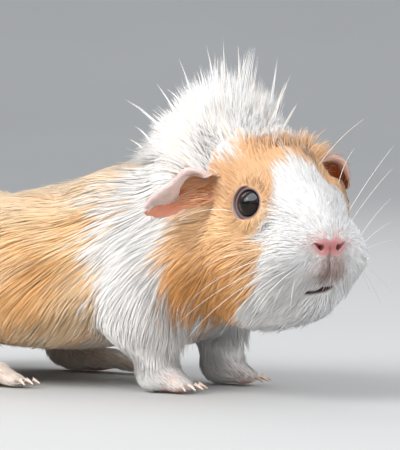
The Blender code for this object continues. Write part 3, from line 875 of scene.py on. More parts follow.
def earPlaces(points):
    # which points of the skin are on an ear, and their places t along its sheet and v across it
    steps = earShape["search"]
    grid = np.array([(i / steps[0], j / steps[1]) for i in range(steps[0] + 1) for j in range(steps[1] + 1)])
    found = {}
    for name, side in sides.items():
        sheet = fromHead(np.array([earPoint(earShape[name], t, v, side) for t, v in grid]))
        along, over = np.gradient(sheet.reshape(steps[0] + 1, steps[1] + 1, 3), axis=(0, 1))
        outwards = unit(np.cross(over, along).reshape(-1, 3)) * -side
        low, high = sheet.min(0) - 2 * mm, sheet.max(0) + 2 * mm
        close = np.flatnonzero(((points > low) & (points < high)).all(axis=1))
        tree = treeOf(sheet)
        hits = [tree.find(points[i]) for i in close]
        on = np.array([hit[2] for hit in hits]) < 0.9 * mm
        close, near = close[on], np.array([hit[1] for hit in hits])[on]
        # face is positive on the open face and negative on the back
        face = ((points[close] - sheet[near]) * outwards[near]).sum(axis=1)
        found[name] = {"index": close, "t": grid[near, 0], "v": grid[near, 1], "face": face,
                       "along": unit(along.reshape(-1, 3)[near]), "side": np.full(len(close), side)}
    return found


class SkinPaint:
    # the skin's colours, and how bare and how moist it is, from 0 to 1
    def __init__(self, points):
        self.colours = markingsLightAndShade(points)
        self.bare, self.moist = np.zeros((2, len(points)))

    def lay(self, tone, share):
        self.colours = tinted(self.colours, tone, share)

    def strip(self, share):
        self.bare = np.maximum(self.bare, share)

    def wet(self, share):
        self.moist = np.maximum(self.moist, share)


def paintNose(paint, local):
    reach, ahead = nosePad(local)
    height = local[:, 2]
    padTone = tinted(bareTones["nose"], bareTones["noseEdge"], ease(*bareEdges["padTone"], reach))
    paint.lay(padTone, ease(*bareEdges["pad"], reach) * ahead)
    share, lower, upper, across = bareEdges["lip"]
    lip = ease(*lower, height) * ease(*upper, height) * ahead
    lip = lip * ease(*across, np.abs(local[:, 1] - noseShape["middle"]))
    paint.lay(bareTones["nose"], lip * share)
    # the nostrils are painted dark: their own colour, and painted shade in the holes
    for side in (-1, 1):
        paint.lay(bareTones["nostril"], nostrilMask(local, side))
    share, heights = bareEdges["hairline"]
    hairline = 1 - share * ease(*heights, height)
    paint.strip(ease(*bareEdges["padBare"], reach / hairline) * ahead)
    paint.wet(ease(*bareEdges["padWet"], reach) * ahead)


def paintMouth(paint, local):
    gap = np.where(local[:, 0] > mouthShape["from"], alongMouth(local)[0], 99)
    # painted shade: the mouth's slit and a strip round it are darkened
    paint.lay(bareTones["mouth"], ease(*bareEdges["mouth"], gap))
    paint.strip(ease(*bareEdges["mouthBare"], gap))


def paintLids(paint, local):
    starts, full = bareEdges["lid"]
    place, width, lower = bareEdges["crescent"]
    for side in sides.values():
        eye = aroundEye(local, side)
        edge = eyeLids["bareTo"] + eyeLids["bareRear"] * eye.rear
        rim = ease(edge + starts, edge + full, eye.across) * (eye.height > -1.5)
        crescent = eye.rear * hump((eye.across - place) / width) * ease(*lower, eye.lower)
        tone = tinted(bareTones["lidRim"], bareTones["lidRear"], crescent)
        # painted shade in the lid's crease, and where the lid meets the ball
        fold = hump((eye.across - eyeLids["crease"][1]) / bareEdges["foldWidth"])
        for share in (fold, ease(*bareEdges["innerLid"], eye.across)):
            tone = tinted(tone, bareTones["lidCreaseShade"], share)
        paint.lay(tone, rim)
        paint.strip(rim)
        paint.wet(bareEdges["lidWet"] * rim)


def paintEars(paint, ears):
    place, width, along = bareEdges["earCupShade"]
    for name, ear in ears.items():
        openTone, deepShare, backShare = earTones[name]
        # painted shade deep in the ear's cup, with the warm glow of light through the thin ear
        deep = hump((ear["v"] - place) / width) * ease(*along, ear["t"])
        inside = tinted(bareTones[openTone], bareTones["earCupShade"], deep * deepShare)
        # painted shade: the far ear's back is drawn towards its shaded tone
        back = mix(bareTones["earBack"], bareTones["farEarShaded"], backShare)
        root = ease(*bareEdges["earRoot"], ear["t"])
        index, tone = ear["index"], np.where((ear["face"] > 0)[:, None], inside, back)
        paint.colours[index] = tinted(paint.colours[index], tone, root)
        paint.bare[index] = np.maximum(paint.bare[index], root)


def paintSkin(points, ears):
    local, height = toHead(points), points[:, 2] / mm
    paint = SkinPaint(points)
    share, lengths = bareEdges["thinCoat"]
    thin = ease(*lengths, coatAt(points)[1][:, 0])
    paint.lay(mix(paint.colours, bareTones["underCoat"], share), thin)
    paintNose(paint, local)
    paintMouth(paint, local)
    paintLids(paint, local)
    paintEars(paint, ears)
    share, heights, ahead = bareEdges["paw"]
    paint.lay(bareTones["paw"], ease(*heights, height) * (toTrunk(points)[:, 0] < ahead) * share)
    paint.strip(points[:, 2] < bareEdges["sole"] * mm)
    return paint


def setColours(mesh, name, colours):
    layer = mesh.color_attributes.new(name, "FLOAT_COLOR", "POINT")
    rgba = np.ones((len(colours), 4), np.float32)
    rgba[:, :3] = np.clip(colours, 0, 1)
    layer.data.foreach_set("color", rgba.ravel())


def setNumbers(mesh, name, values):
    layer = mesh.attributes.new(name, "FLOAT", "POINT")
    layer.data.foreach_set("value", np.asarray(values, np.float32))


print("markingsLightAndShade")
ears = earPlaces(hide.points)
paint = paintSkin(hide.points, ears)
hide.bare = paint.bare
setColours(skin.data, "tint", paint.colours)
setNumbers(skin.data, "moist", paint.moist)
skin.data.shade_smooth()


# finishes

class Signal:
    # a socket that sums can be written with
    def __init__(self, tree, socket):
        self.tree, self.socket = tree, socket

    def sum(self, operation, *values):
        node = self.tree.nodes.new("ShaderNodeMath")
        node.operation = operation
        for socket, value in zip(node.inputs, values):
            connect(self.tree, socket, value)
        return Signal(self.tree, node.outputs[0])

    def __add__(self, other):
        return self.sum("ADD", self, other)

    def __radd__(self, other):
        return self.sum("ADD", other, self)

    def __sub__(self, other):
        return self.sum("SUBTRACT", self, other)

    def __rsub__(self, other):
        return self.sum("SUBTRACT", other, self)

    def __mul__(self, other):
        return self.sum("MULTIPLY", self, other)

    def __rmul__(self, other):
        return self.sum("MULTIPLY", other, self)


def connect(tree, socket, value):
    if isinstance(value, Signal):
        tree.links.new(value.socket, socket)
    else:
        socket.default_value = value


class Finish:
    def __init__(self, name, roughness, **fixed):
        self.material = bpy.data.materials.new(name)
        self.material.use_nodes = True
        self.tree = self.material.node_tree
        self.shader = self.tree.nodes["Principled BSDF"]
        self.send(Roughness=roughness, **fixed)

    def send(self, **values):
        for socket, value in values.items():
            connect(self.tree, self.shader.inputs[socket.replace("_", " ")], value)
        return self.material

    def node(self, kind, settings=None, inputs=None, outlet=0):
        node = self.tree.nodes.new("ShaderNode" + kind)
        for key, value in (settings or {}).items():
            if key == "stops":
                ramp = node.color_ramp.elements
                while len(ramp) < len(value):
                    ramp.new(1)
                for stop, (place, colour) in zip(ramp, value):
                    stop.position, stop.color = place, (*colour, 1)
            else:
                setattr(node, key, value)
        for key, value in (inputs or {}).items():
            connect(self.tree, node.inputs[key], value)
        return Signal(self.tree, node.outputs[outlet])

    def attribute(self, name, outlet="Fac"):
        return self.node("Attribute", {"attribute_name": name}, None, outlet)

    def noise(self, scale, detail=3, rough=0.5):
        place = self.node("TexCoord", outlet="Object")
        inputs = {"Scale": scale, "Detail": detail, "Roughness": rough, "Vector": place}
        return self.node("TexNoise", None, inputs, "Fac")

    def blend(self, share, first, second, kind="MIX"):
        settings = {"data_type": "RGBA", "blend_type": kind}
        return self.node("Mix", settings, {0: share, 6: first, 7: second}, 2)

    def darker(self, colour, by):
        return self.blend(1.0, colour, (*by, 1), "MULTIPLY")

    def ramp(self, value, *stops):
        return self.node("ValToRGB", {"stops": stops}, {"Fac": value})

    def bump(self, height, strength, distance):
        return self.node("Bump", None, {"Height": height, "Strength": strength, "Distance": distance})


def skinFinish():
    f = Finish("bareSkin", 0.55, Subsurface_Weight=0.18, Subsurface_Scale=0.0015,
               Subsurface_Radius=(1.0, 0.45, 0.3), Specular_IOR_Level=0.35)
    tint, moist = f.attribute("tint", "Color"), f.attribute("moist")
    blotch, grain, pores = f.noise(260, 4), f.noise(1700, 2), f.noise(2600, 2, 0.6)
    return f.send(Base_Color=f.blend(blotch * 0.35, tint, f.darker(tint, (0.86, 0.72, 0.68))),
                  Roughness=0.62 - moist * 0.26 + grain * 0.08,
                  Normal=f.bump(grain * 0.5 + pores * 0.5, 0.5, 0.00012))


def coatFinish():
    f = Finish("coatHair", 0.55, Specular_IOR_Level=0.22, Sheen_Weight=0.15, Sheen_Roughness=0.45)
    tint, streak = f.attribute("tint", "Color"), f.noise(900, 2)
    return f.send(Base_Color=f.blend(streak * 0.25, tint, f.darker(tint, (0.93, 0.9, 0.86))),
                  Roughness=0.46 + streak * 0.14)


def hornFinish():
    f = Finish("clawHorn", 0.35, Specular_IOR_Level=0.5)
    layers, fine = f.noise(420), f.noise(2400, 2)
    return f.send(Base_Color=f.ramp(layers, (0.3, (0.52, 0.36, 0.28)), (0.7, (0.78, 0.62, 0.52))),
                  Roughness=0.3 + fine * 0.15, Normal=f.bump(fine, 0.3, 0.00005))


def eyeFinish():
    f = Finish("eyeBrown", 0.04, Specular_IOR_Level=0.3)
    depth, fibres = f.attribute("fromPupil"), f.noise(1500)
    iris = f.ramp(depth + fibres * 0.08, (0.0, (0.002, 0.002, 0.002)), (0.42, (0.003, 0.002, 0.002)),
                  (0.5, (0.016, 0.009, 0.006)), (0.85, (0.010, 0.006, 0.004)), (1.0, (0.003, 0.002, 0.002)))
    return f.send(Base_Color=iris, Roughness=0.04 + fibres * 0.02)


def whiskerFinish():
    f = Finish("whiskerHair", 0.35, Specular_IOR_Level=0.5)
    tint, streak = f.attribute("tint", "Color"), f.noise(700, 2)
    return f.send(Base_Color=f.blend(streak * 0.2, tint, (0.8, 0.76, 0.7, 1)), Roughness=0.3 + streak * 0.1)


def floorFinish():
    f = Finish("paleFloor", 0.85, Specular_IOR_Level=0.2)
    mottle = f.noise(1.3)
    return f.send(Base_Color=f.ramp(mottle, (0.3, (0.47, 0.47, 0.47)), (0.7, (0.5, 0.5, 0.495))),
                  Roughness=0.8 + mottle * 0.1)


def finishPiece(piece, material, slotName, *replaced):
    piece.data.materials.clear()
    piece.data.materials.append(material)
    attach(piece, "root")
    if replaced:
        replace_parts(piece, *replaced)


hairMaterial = coatFinish()
finishPiece(skin, skinFinish(), "bare_skin", *fleshNodes, "ear_left", "ear_right")
horn = hornFinish()
for name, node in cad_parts.items():
    if name.startswith("claw"):
        node.data.materials.clear()
        node.data.materials.append(horn)


# eyes

eyeBall = {
    "segments": 64,
    "rings": 40,
    "cornea": 0.35,       # how far the cornea bulges, in mm
    "corneaReach": 0.62,  # and out to which angle, in radians
    "irisReach": 1.05,
}


def buildEye(name):
    axis = Vector(eyeAxis(sides[name]) @ headAxes)
    middle = eyeMiddles[name] - axis * eyeLids["deeper"][name] * mm
    turn = up.rotation_difference(axis).to_matrix().to_4x4()
    bm = bmesh.new()
    bmesh.ops.create_uvsphere(bm, u_segments=eyeBall["segments"], v_segments=eyeBall["rings"],
                              radius=anatomy["eyeRadius"] * mm, matrix=Matrix.Translation(middle) @ turn)
    fromPupil = []
    for v in bm.verts:
        out = (v.co - middle).normalized()
        angle = out.angle(axis)
        bulge = max(0.0, 1 - (angle / eyeBall["corneaReach"]) ** 2)
        v.co += out * eyeBall["cornea"] * bulge**1.5 * mm
        fromPupil.append(min(1.0, angle / eyeBall["irisReach"]))
    bmesh.ops.recalc_face_normals(bm, faces=bm.faces[:])
    piece = objectOf(bm, "eyeball_" + name)
    setNumbers(piece.data, "fromPupil", fromPupil)
    piece.data.shade_smooth()
    finishPiece(piece, eyeFinish(), "eye", "eye_" + name)


print("eyes")
for name in sides:
    buildEye(name)


# the coat, in tufts rooted on the skin

def surfaceCoat():
    # the coat's run, length and depth on the body's skin, parted round the eyes, short by nose and mouth
    run, size = coatAt(body.points)
    local = toHead(body.points)
    length = size[:, 0]
    (parted, turnAway), (shortened, share) = lie["eyeParting"], lie["shortByEye"]
    for side in sides.values():
        eye = aroundEye(local, side)
        near = ease(*parted, eye.across) * (eye.height > -2)
        run = unit(run + unit(eye.flat) @ headAxes * (turnAway * near)[:, None])
        length = length * mix(1, share, ease(*shortened, eye.across) * (eye.height > -2))
    reach, ahead = nosePad(local)
    shortened, share = lie["shortByNose"]
    length = length * mix(1, share, ease(*shortened, reach) * ahead)
    shortened, share = lie["shortByMouth"]
    atMouth = ease(*shortened, alongMouth(local)[0]) * (local[:, 0] > mouthShape["from"])
    length = length * mix(1, share, atMouth)
    orders = ((0, 1, 2), (2, 0, 1), (1, 2, 0))
    swirl = np.stack([ripple(local[:, order], lie["swirlSize"]) for order in orders], axis=1)
    run = run + lie["swirl"] * swirl @ headAxes
    run = unit(run - body.normals * dots(run, body.normals))
    run = unit(relaxed(run, edgesOf(body.triangles), 0.5, 4))
    return run, length, size[:, 1]


def unwrappedSkin():
    # one unwrap of the skin's own shape, where every tuft finds its place
    mesh = skin.data
    bpy.context.view_layer.objects.active = skin
    skin.select_set(True)
    bpy.ops.object.mode_set(mode="EDIT")
    bpy.ops.mesh.select_all(action="SELECT")
    bpy.ops.uv.smart_project(angle_limit=math.radians(66), island_margin=0.002)
    bpy.ops.object.mode_set(mode="OBJECT")
    skin.select_set(False)
    flat = np.empty(len(mesh.loops) * 2, np.float32)
    mesh.uv_layers.active.data.foreach_get("uv", flat)
    corners = np.empty(len(mesh.loops), np.int32)
    mesh.loops.foreach_get("vertex_index", corners)
    mesh.uv_layers.remove(mesh.uv_layers.active)
    return corners.reshape(-1, 3), flat.reshape(-1, 3, 2)


class Roots:
    # places on the skin where tufts grow, and what the skin is like there
    def __init__(self, rng, density, onEar=False):
        middles = hide.points[hide.corners].mean(axis=1)
        a, b, c = (hide.points[hide.corners[:, i]] for i in range(3))
        area = np.linalg.norm(np.cross(b - a, c - a), axis=1) / 2 / mm**2
        want = area * density(middles) * (hide.onEar == onEar)
        count = int(want.sum())
        steps = (np.arange(count) + rng.random(count)) * want.sum() / count
        chosen = np.minimum(np.searchsorted(np.cumsum(want), steps), len(want) - 1)
        u, v = rng.random((2, count))
        u, v = np.where(u + v > 1, 1 - u, u), np.where(u + v > 1, 1 - v, v)
        w = np.stack([1 - u - v, u, v], axis=1)[:, :, None]
        corners = hide.corners[chosen]
        kept = ((hide.bare[corners] * w[:, :, 0]).sum(axis=1) < tuftShape["bareFrom"]) | onEar
        self.points = (hide.points[corners] * w).sum(axis=1)[kept]
        self.normals = unit((hide.normals[corners] * w).sum(axis=1))[kept]
        self.places = (hide.places[chosen] * w).sum(axis=1)[kept]
        self.near = nearestIndex(body.tree, self.points)
        self.local = toHead(self.points)

    def __len__(self):
        return len(self.points)


tuftShape = {
    "girth": ((0, 0.3, 0.7, 1), (0.7, 1.0, 0.8, 0.25)),     # thickness from the root to the tip
    "sway": 0.1,                # how far single tufts turn from the lie of the coat
    "comb": 0.35,               # and how fast they turn back to it
    "rise": 1.6,                # how soon they reach their height in the coat
    "gather": 1.3,              # how late along their length the tufts of a lock meet
    "patch": (0.0013, 0.003),   # half width and length of a tuft's place on the map
    "bareFrom": 0.35,           # nothing grows where the skin is barer than this
    "shownAt": 0.6,             # the place along a tuft that shows most and gives its colour
    "lowest": 0.3,              # tufts keep this far above the ground, in mm
    "freeEar": 0.3,             # an ear is free of the head from here on, along its length
    "earGap": 0.75,
}


def lyingPaths(roots, length, depth, lift, rings, rng):
    # walks each tuft over the skin, rising from its root to its own height in the coat
    near = roots.near
    way = unit(body.run[near] + rng.normal(0, tuftShape["sway"], (len(roots), 3)))
    path, point = [roots.points], roots.points
    for ring in range(1, rings + 1):
        t = ring / rings
        normal = body.normals[near]
        way = unit(mix(way, body.run[near], tuftShape["comb"]))
        way = unit(way - normal * dots(way, normal))
        point = point + way * (length / rings * mm)[:, None]
        near = nearestIndex(body.tree, point)
        normal = body.normals[near]
        height = depth * (1 - (1 - t) ** tuftShape["rise"]) + lift * length * t * t
        rise = dots(point - body.points[near], normal)
        point = point - normal * (rise - (height * mm)[:, None])
        path.append(point)
    return np.stack(path, axis=1)


def lockedTogether(paths, every, hold, rng):
    # draws the ends of neighbours together into locks, and says which lock each is in
    leaders = np.sort(rng.choice(len(paths), max(1, len(paths) // every), replace=False))
    own = leaders[nearestIndex(treeOf(paths[leaders, 0]), paths[:, 0])]
    t = np.linspace(0, 1, paths.shape[1])[None, :, None]
    pull = hold * t ** tuftShape["gather"] * rng.uniform(0.4, 1.0, (len(paths), 1, 1))
    return mix(paths, paths[own], pull), own


hairVariety = {"lockStray": 0.8, "lock": 0.7, "warm": 0.5, "warmTint": (0.1, 0, -0.6), "white": (0.6, 0.8)}


def hairTones(points, own, spread, rng, feather=0.0):
    # the markings with their painted shade and light, each tuft and each lock a little its own, and their
    # edges feathered along the coat
    count = (len(points), 1)
    stray = rng.normal(0, 1, count) + hairVariety["lockStray"] * rng.normal(0, 1, count)[own]
    colours = markingsLightAndShade(points + stray * feather * mm * body.run[nearestIndex(body.tree, points)])
    single = rng.normal(0, spread, count)
    shared = rng.normal(0, spread * hairVariety["lock"], count)[own]
    warm = rng.normal(0, spread * hairVariety["warm"], count) * np.array([hairVariety["warmTint"]])
    whiteness = ease(*hairVariety["white"], colours[:, 2])[:, None]
    return colours * (1 + (single + shared) * mix(1, 0.8, whiteness) + warm * mix(1, 0.3, whiteness))


def tuftFaces(rings):
    # the faces of one closed three-sided tuft, its rings first and its tip last
    faces = [(2, 1, 0)]
    for ring in range(rings - 1):
        for corner in range(3):
            a, b = ring * 3 + corner, ring * 3 + (corner + 1) % 3
            faces += [(a, b, b + 3), (a, b + 3, a + 3)]
    last = (rings - 1) * 3
    return np.array(faces + [(last + k, last + (k + 1) % 3, rings * 3) for k in range(3)])


def tuftMesh(name, look, tufts, chosen=slice(None)):
    # many closed tapering tufts, written as one mesh
    paths, widths, colours, facing, places = (values[chosen] for values in tufts)
    count, rings = paths.shape[0], paths.shape[1] - 1
    ahead = np.diff(paths, axis=1)
    tangent = unit(np.concatenate([ahead[:, :1], ahead[:, 1:] + ahead[:, :-1]], axis=1))
    sideways = unit(np.cross(tangent, facing[:, None, :]))
    over = np.cross(tangent, sideways)
    t = np.arange(rings) / rings
    girth, (wide, tall) = np.interp(t, *tuftShape["girth"]), tuftShape["patch"]
    size = rings * 3 + 1
    points, normals = np.empty((2, count, size, 3))
    shade, spot = np.empty((count, size)), np.empty((count, size, 2))
    for ring in range(rings):
        for corner in range(3):
            turn = math.pi / 2 + corner * 2 * math.pi / 3
            out = sideways[:, ring] * math.cos(turn) + over[:, ring] * math.sin(turn)
            at = ring * 3 + corner
            points[:, at] = paths[:, ring] + out * (widths * girth[ring] * mm / 2)[:, None]
            normals[:, at] = out
            # painted shade and light: each tuft's colour is darkened at its root, where the coat shadows it,
            # and lightened towards its tip
            shade[:, at] = mix(*look["shading"], t[ring] ** 0.7)
            spot[:, at] = ((corner - 1) * wide, (t[ring] - 0.5) * tall)
    points[:, -1], normals[:, -1] = paths[:, -1], facing
    shade[:, -1], spot[:, -1] = look["shading"][1], (0, tall / 2)
    normals = unit(mix(normals, facing[:, None, :], look["smooth"]))
    corners = (tuftFaces(rings)[None] + (np.arange(count) * size)[:, None, None]).ravel()
    mesh = bpy.data.meshes.new(name)
    mesh.vertices.add(count * size)
    mesh.vertices.foreach_set("co", points.astype(np.float32).ravel())
    mesh.loops.add(len(corners))
    mesh.loops.foreach_set("vertex_index", corners.astype(np.int32))
    mesh.polygons.add(len(corners) // 3)
    mesh.polygons.foreach_set("loop_start", np.arange(0, len(corners), 3, dtype=np.int32))
    mesh.update(calc_edges=True)
    flat = (places[:, None, :] + spot).reshape(-1, 2)[corners]
    mesh.uv_layers.new(name="OFBake").data.foreach_set("uv", flat.astype(np.float32).ravel())
    setColours(mesh, "tint", (colours[:, None, :] * shade[:, :, None]).reshape(-1, 3))
    mesh.shade_smooth()
    mesh.normals_split_custom_set_from_vertices(normals.reshape(-1, 3).astype(np.float32))
    piece = linked(name, mesh)
    finishPiece(piece, hairMaterial, look["slot"])
    print("  ", name, len(mesh.polygons))
    return piece


def clearOfEars(paths):
    # false for tufts that would grow through the free part of an ear
    free = hide.points[onEars.index[onEars.t > tuftShape["freeEar"]]]
    low, high = free.min(0) - mm, free.max(0) + mm
    near = ((paths > low) & (paths < high)).all(axis=2)
    tree = treeOf(free)
    touching = near.copy()
    touching[near] = [tree.find(p)[2] < tuftShape["earGap"] * mm for p in paths[near]]
    return ~touching.any(axis=1)


def growLying(look, density, rng, meshes):
    # a stretch of coat that lies along the body; meshes says which tufts go into which mesh
    roots = Roots(rng, lambda p: look["density"] * density(p))
    length = body.length[roots.near] * rng.uniform(*look["lengths"], len(roots))
    depth = body.depth[roots.near] * rng.uniform(*look["depths"], len(roots))
    lift = look["lift"] * np.minimum(rng.exponential(1, len(roots)), 4)
    paths = lyingPaths(roots, length, depth, lift, look["rings"], rng)
    paths, own = lockedTogether(paths, look["lock"], look["hold"], rng)
    paths[:, 1:, 2] = np.maximum(paths[:, 1:, 2], tuftShape["lowest"] * mm)
    widths = rng.uniform(*look["width"], len(roots))
    shown = int(round(tuftShape["shownAt"] * look["rings"]))
    colours = hairTones(paths[:, shown], own, look["spread"], rng, look["feather"])
    tufts = (paths, widths, colours, body.normals[roots.near], roots.places)
    clear = clearOfEars(paths)
    for name, chosen in meshes(roots).items():
        tuftMesh(name, look, tufts, chosen & clear)


def halves(name, places, chosen=True):
    right = places[:, 1] < 0
    return {name + "_right": right & chosen, name + "_left": ~right & chosen}


# how upright the hair stands on the head and nape, from 0 to 1
crestPlace = {
    "sides": (20, 7),
    "front": (35, 22),
    "rear": (-46, -24),
    "height": (66, 70),
    "narrows": ((-20, 4, 20, 34), (1, 1, 0.66, 0.45)),      # its width towards the brow
    "askew": (0.12, 4),         # how its middle line runs across, and where it crosses the head's
}
# which coat grows where: the edges of each stretch
coatEdges = {
    "head": ((-5, -2), 0.12, 50),       # at the nape: edges, their slope, and the height they are given for
    "ruff": ((4, 10), (12, 18)),        # how far ahead on the trunk, and how high
    "feet": (15, 10),
    "belly": (0.35, (-0.35, -0.8)),     # the share of tufts left there, and how far down its skin faces
    "long": (6.5, 9.5),                 # lengths on the face
}


def uprightAt(points):
    x, y, z = toHead(points).T
    place, (slope, crossing) = crestPlace, crestPlace["askew"]
    side = ease(*place["sides"], np.abs(y + slope * (x + crossing)) / np.interp(x, *place["narrows"]))
    return side * ease(*place["front"], x) * ease(*place["rear"], x) * ease(*place["height"], z)


def onHead(points):
    local, (edges, slope, height) = toHead(points), coatEdges["head"]
    return ease(*edges, local[:, 0] + slope * (local[:, 2] - height))


def onRuff(points):
    torso, (ahead, height) = toTrunk(points), coatEdges["ruff"]
    return (1 - onHead(points)) * ease(*ahead, torso[:, 0]) * ease(*height, torso[:, 2])


def onFeet(points):
    return ease(*coatEdges["feet"], points[:, 2] / mm) * (1 - onHead(points))


def seen(points):
    # fewer tufts under the belly, where the coat is thin and in the dark
    share, down = coatEdges["belly"]
    normal = body.normals[nearestIndex(body.tree, points)]
    return mix(1, share, ease(*down, normal[:, 2]) * (1 - onHead(points)))


def longOnFace(points):
    return ease(*coatEdges["long"], body.length[nearestIndex(body.tree, points)])


# tufts for each square mm, their thickness in mm, their length and depth as shares of the lie's,
# how many make a lock and how tightly, and how much colours differ and stray over an edge
# shading: factors on a tuft's colour at its root and at its tip, the painted shade and painted light laid
# along it
faceCoat = {"slot": "orange_coat", "density": 5.6, "width": (0.2, 0.31), "rings": 2,
            "lengths": (0.75, 1.2), "depths": (0.35, 1.0), "lock": 12, "hold": 0.3, "lift": 0.06,
            "spread": 0.075, "feather": 1.4, "shading": (0.86, 1.05), "smooth": 0.55}
cheekCoat = {"slot": "orange_coat", "density": 2.7, "width": (0.24, 0.36), "rings": 3,
             "lengths": (0.7, 1.2), "depths": (0.4, 1.05), "lock": 18, "hold": 0.5, "lift": 0.06,
             "spread": 0.1, "feather": 3.4, "shading": (0.8, 1.07), "smooth": 0.5}
bodyCoat = {"slot": "cream_coat", "density": 1.3, "width": (0.27, 0.4), "rings": 3,
            "lengths": (0.6, 1.15), "depths": (0.82, 1.0), "lock": 34, "hold": 0.1, "lift": 0.012,
            "spread": 0.045, "feather": 4.0, "shading": (0.97, 1.02), "smooth": 0.9}
ruffCoat = {"slot": "white_coat", "density": 1.7, "width": (0.26, 0.38), "rings": 4,
            "lengths": (0.6, 1.15), "depths": (0.8, 1.0), "lock": 30, "hold": 0.14, "lift": 0.016,
            "spread": 0.035, "feather": 5.0, "shading": (0.97, 1.02), "smooth": 0.9}
legCoat = {"slot": "white_coat", "density": 3.0, "width": (0.22, 0.32), "rings": 2,
           "lengths": (0.7, 1.1), "depths": (0.3, 0.9), "lock": 10, "hold": 0.25, "lift": 0.03,
           "spread": 0.05, "feather": 1.0, "shading": (0.92, 1.03), "smooth": 0.75}


def growFace(rng):
    def short(points):
        # the shorter the hair, the denser it grows
        length = np.maximum(body.length[nearestIndex(body.tree, points)], 2.2)
        return onHead(points) * (1 - longOnFace(points)) * np.clip(5 / length, 0.6, 1.9) ** 0.8
    growLying(faceCoat, short, rng, lambda roots: halves("coat_face", roots.local))
    growLying(cheekCoat, lambda p: onHead(p) * longOnFace(p), rng,
              lambda roots: halves("coat_cheek", roots.local))


def growTrunk(rng):
    def behindRuff(points):
        return (1 - onHead(points)) * (1 - onRuff(points)) * (1 - onFeet(points)) * (uprightAt(points) < 0.5)

    def quarters(roots):
        places = toTrunk(roots.points)
        front = places[:, 0] >= np.median(places[:, 0])
        return {**halves("coat_trunk", places, front), **halves("coat_rump", places, ~front)}
    growLying(bodyCoat, lambda p: behindRuff(p) * seen(p), rng, quarters)


def growRuff(rng):
    growLying(ruffCoat, lambda p: onRuff(p) * (uprightAt(p) < 0.6) * seen(p), rng,
              lambda roots: halves("coat_ruff", toTrunk(roots.points)))


def growLegs(rng):
    growLying(legCoat, lambda p: onFeet(p) * (p[:, 2] > 1.4 * mm), rng,
              lambda roots: {"coat_legs": np.ones(len(roots), bool)})


crestLook = {
    "slot": "white_coat",
    "density": 4.6,
    "width": (0.26, 0.4),
    "rings": 4,
    # places along the head, from the nape to the brow, and the length in mm there
    "lengths": ((-46, -28, -18, -12, -8, -3, 2, 9, 15, 20, 25, 30, 35),
                (21, 26, 26, 27, 33, 36, 33, 26, 19, 13, 9.5, 7.5, 6)),
    "skew": 1.2,                # the ridge runs askew, as the neck is turned
    "skewOnRight": (0.75, (14, -4)),    # its share there, and where it starts
    "sideShare": 0.5,           # how long they are at the sides
    "stray": (0.86, 1.1),
    "focus": (-4, 0, 50),       # hairs point away from here, in the head's frame
    "focusStray": 2.5,
    "uprightStray": 0.15,
    "backSweep": (1.15, (5, -30)),      # how far the rear ones are laid back, and where that starts
    "lift": 0.38,               # how far the lying ones rise from the skin
    "sag": (-0.25, 0.35, -1.0),         # the way they droop: back, out and down
    "droop": (0.13, 1.7, 0.5),          # how far, with its shares for lying hair and for wisps
    "lock": 22,
    "hold": 0.5,
    "gather": 1.4,
    "wispShare": 0.03,          # locks that stand out past the rest
    "wispLengths": (1.12, 1.15),
    "otherLengths": (0.8, 1.04),
    "wispHold": 0.85,
    "whiteFrom": (7.6, 11.2),   # hair of these lengths turns white
    "blond": (0.1, (-10, 20), 0.5),     # chance of a blond hair, where that rises, and its strength
    "blondLocks": (0.22, (0.55, 0.9), 6),       # strength, contrast and size
    "spread": 0.03,
    # shading: painted shade at each tuft's root and painted light at its tip
    "shading": (0.96, 1.03),
    "smooth": 0.5,
    "facing": 0.35,             # how far a hair's shading follows its own way, not the skin
    "spikeHairs": (7, 15),
    "spikeReach": (0.5, 1.1),
    "spikeBow": (0.02, 0.12),
    "spikeHold": 0.86,
}
# the long thin locks that break the crest's outline: from their roots to their tips, in the head's frame
crestSpikes = (
    ((-24, -7, 80), (-58, -12, 101)), ((-18, -6, 83), (-45, -6, 106)), ((-14, -4, 85), (-36, -2, 114.5)),
    ((-9, -3, 86), (-19, -4, 113)), ((-6, 0, 87), (-20, 0, 119)), ((-2, -2, 87), (-4, -3, 120.5)),
    ((1, 1, 88), (-1, 1, 120)), ((5, -1, 88), (7.5, -2, 116.5)), ((9, 0, 88), (10, 0, 113)),
    ((15, 3, 87), (19.5, 4, 113.5)), ((20, 1, 87), (28, 2, 106)), ((25, 1, 86), (34, 3, 99)),
    ((-26, -12, 74), (-45, -15, 91)), ((-30, -12, 72), (-50, -15, 86.5)),
    ((-32, -6, 74), (-60, -10, 83)), ((-12, -7, 84), (-31, -9, 104)), ((22, -3, 86), (24, -5, 103)),
    ((-20, 5, 82), (-40, 8, 106)), ((-5, 5, 86), (-12, 9, 115)), ((10, 7, 85), (13, 13, 108)),
)


def crestWays(roots, rng):
    # how upright each hair stands, from 0 to 1, and its way: away from the focus, or along the coat
    look, x = crestLook, roots.local[:, 0]
    stray = rng.normal(0, look["uprightStray"], len(roots))
    upright = np.clip(uprightAt(roots.points) + stray, 0, 1)[:, None]
    radial = unit(roots.local - np.array(look["focus"]) + rng.normal(0, look["focusStray"], (len(roots), 3)))
    sweep, along = look["backSweep"]
    radial[:, 0] -= sweep * ease(*along, x)
    lying = (body.run[roots.near] + body.normals[roots.near] * look["lift"]) @ headAxes.T
    return upright, unit(mix(unit(lying), unit(radial), upright**0.75))


def crestLengths(local, rng):
    look, (x, y) = crestLook, local.T[:2]
    share, along = look["skewOnRight"]
    skew = look["skew"] * np.where(y > 0, 1, share * ease(*along, x))
    side = ease(*crestPlace["sides"], np.abs(y))
    length = np.interp(x + skew * y, *look["lengths"]) * mix(look["sideShare"], 1, side)
    return length * rng.uniform(*look["stray"], len(x))


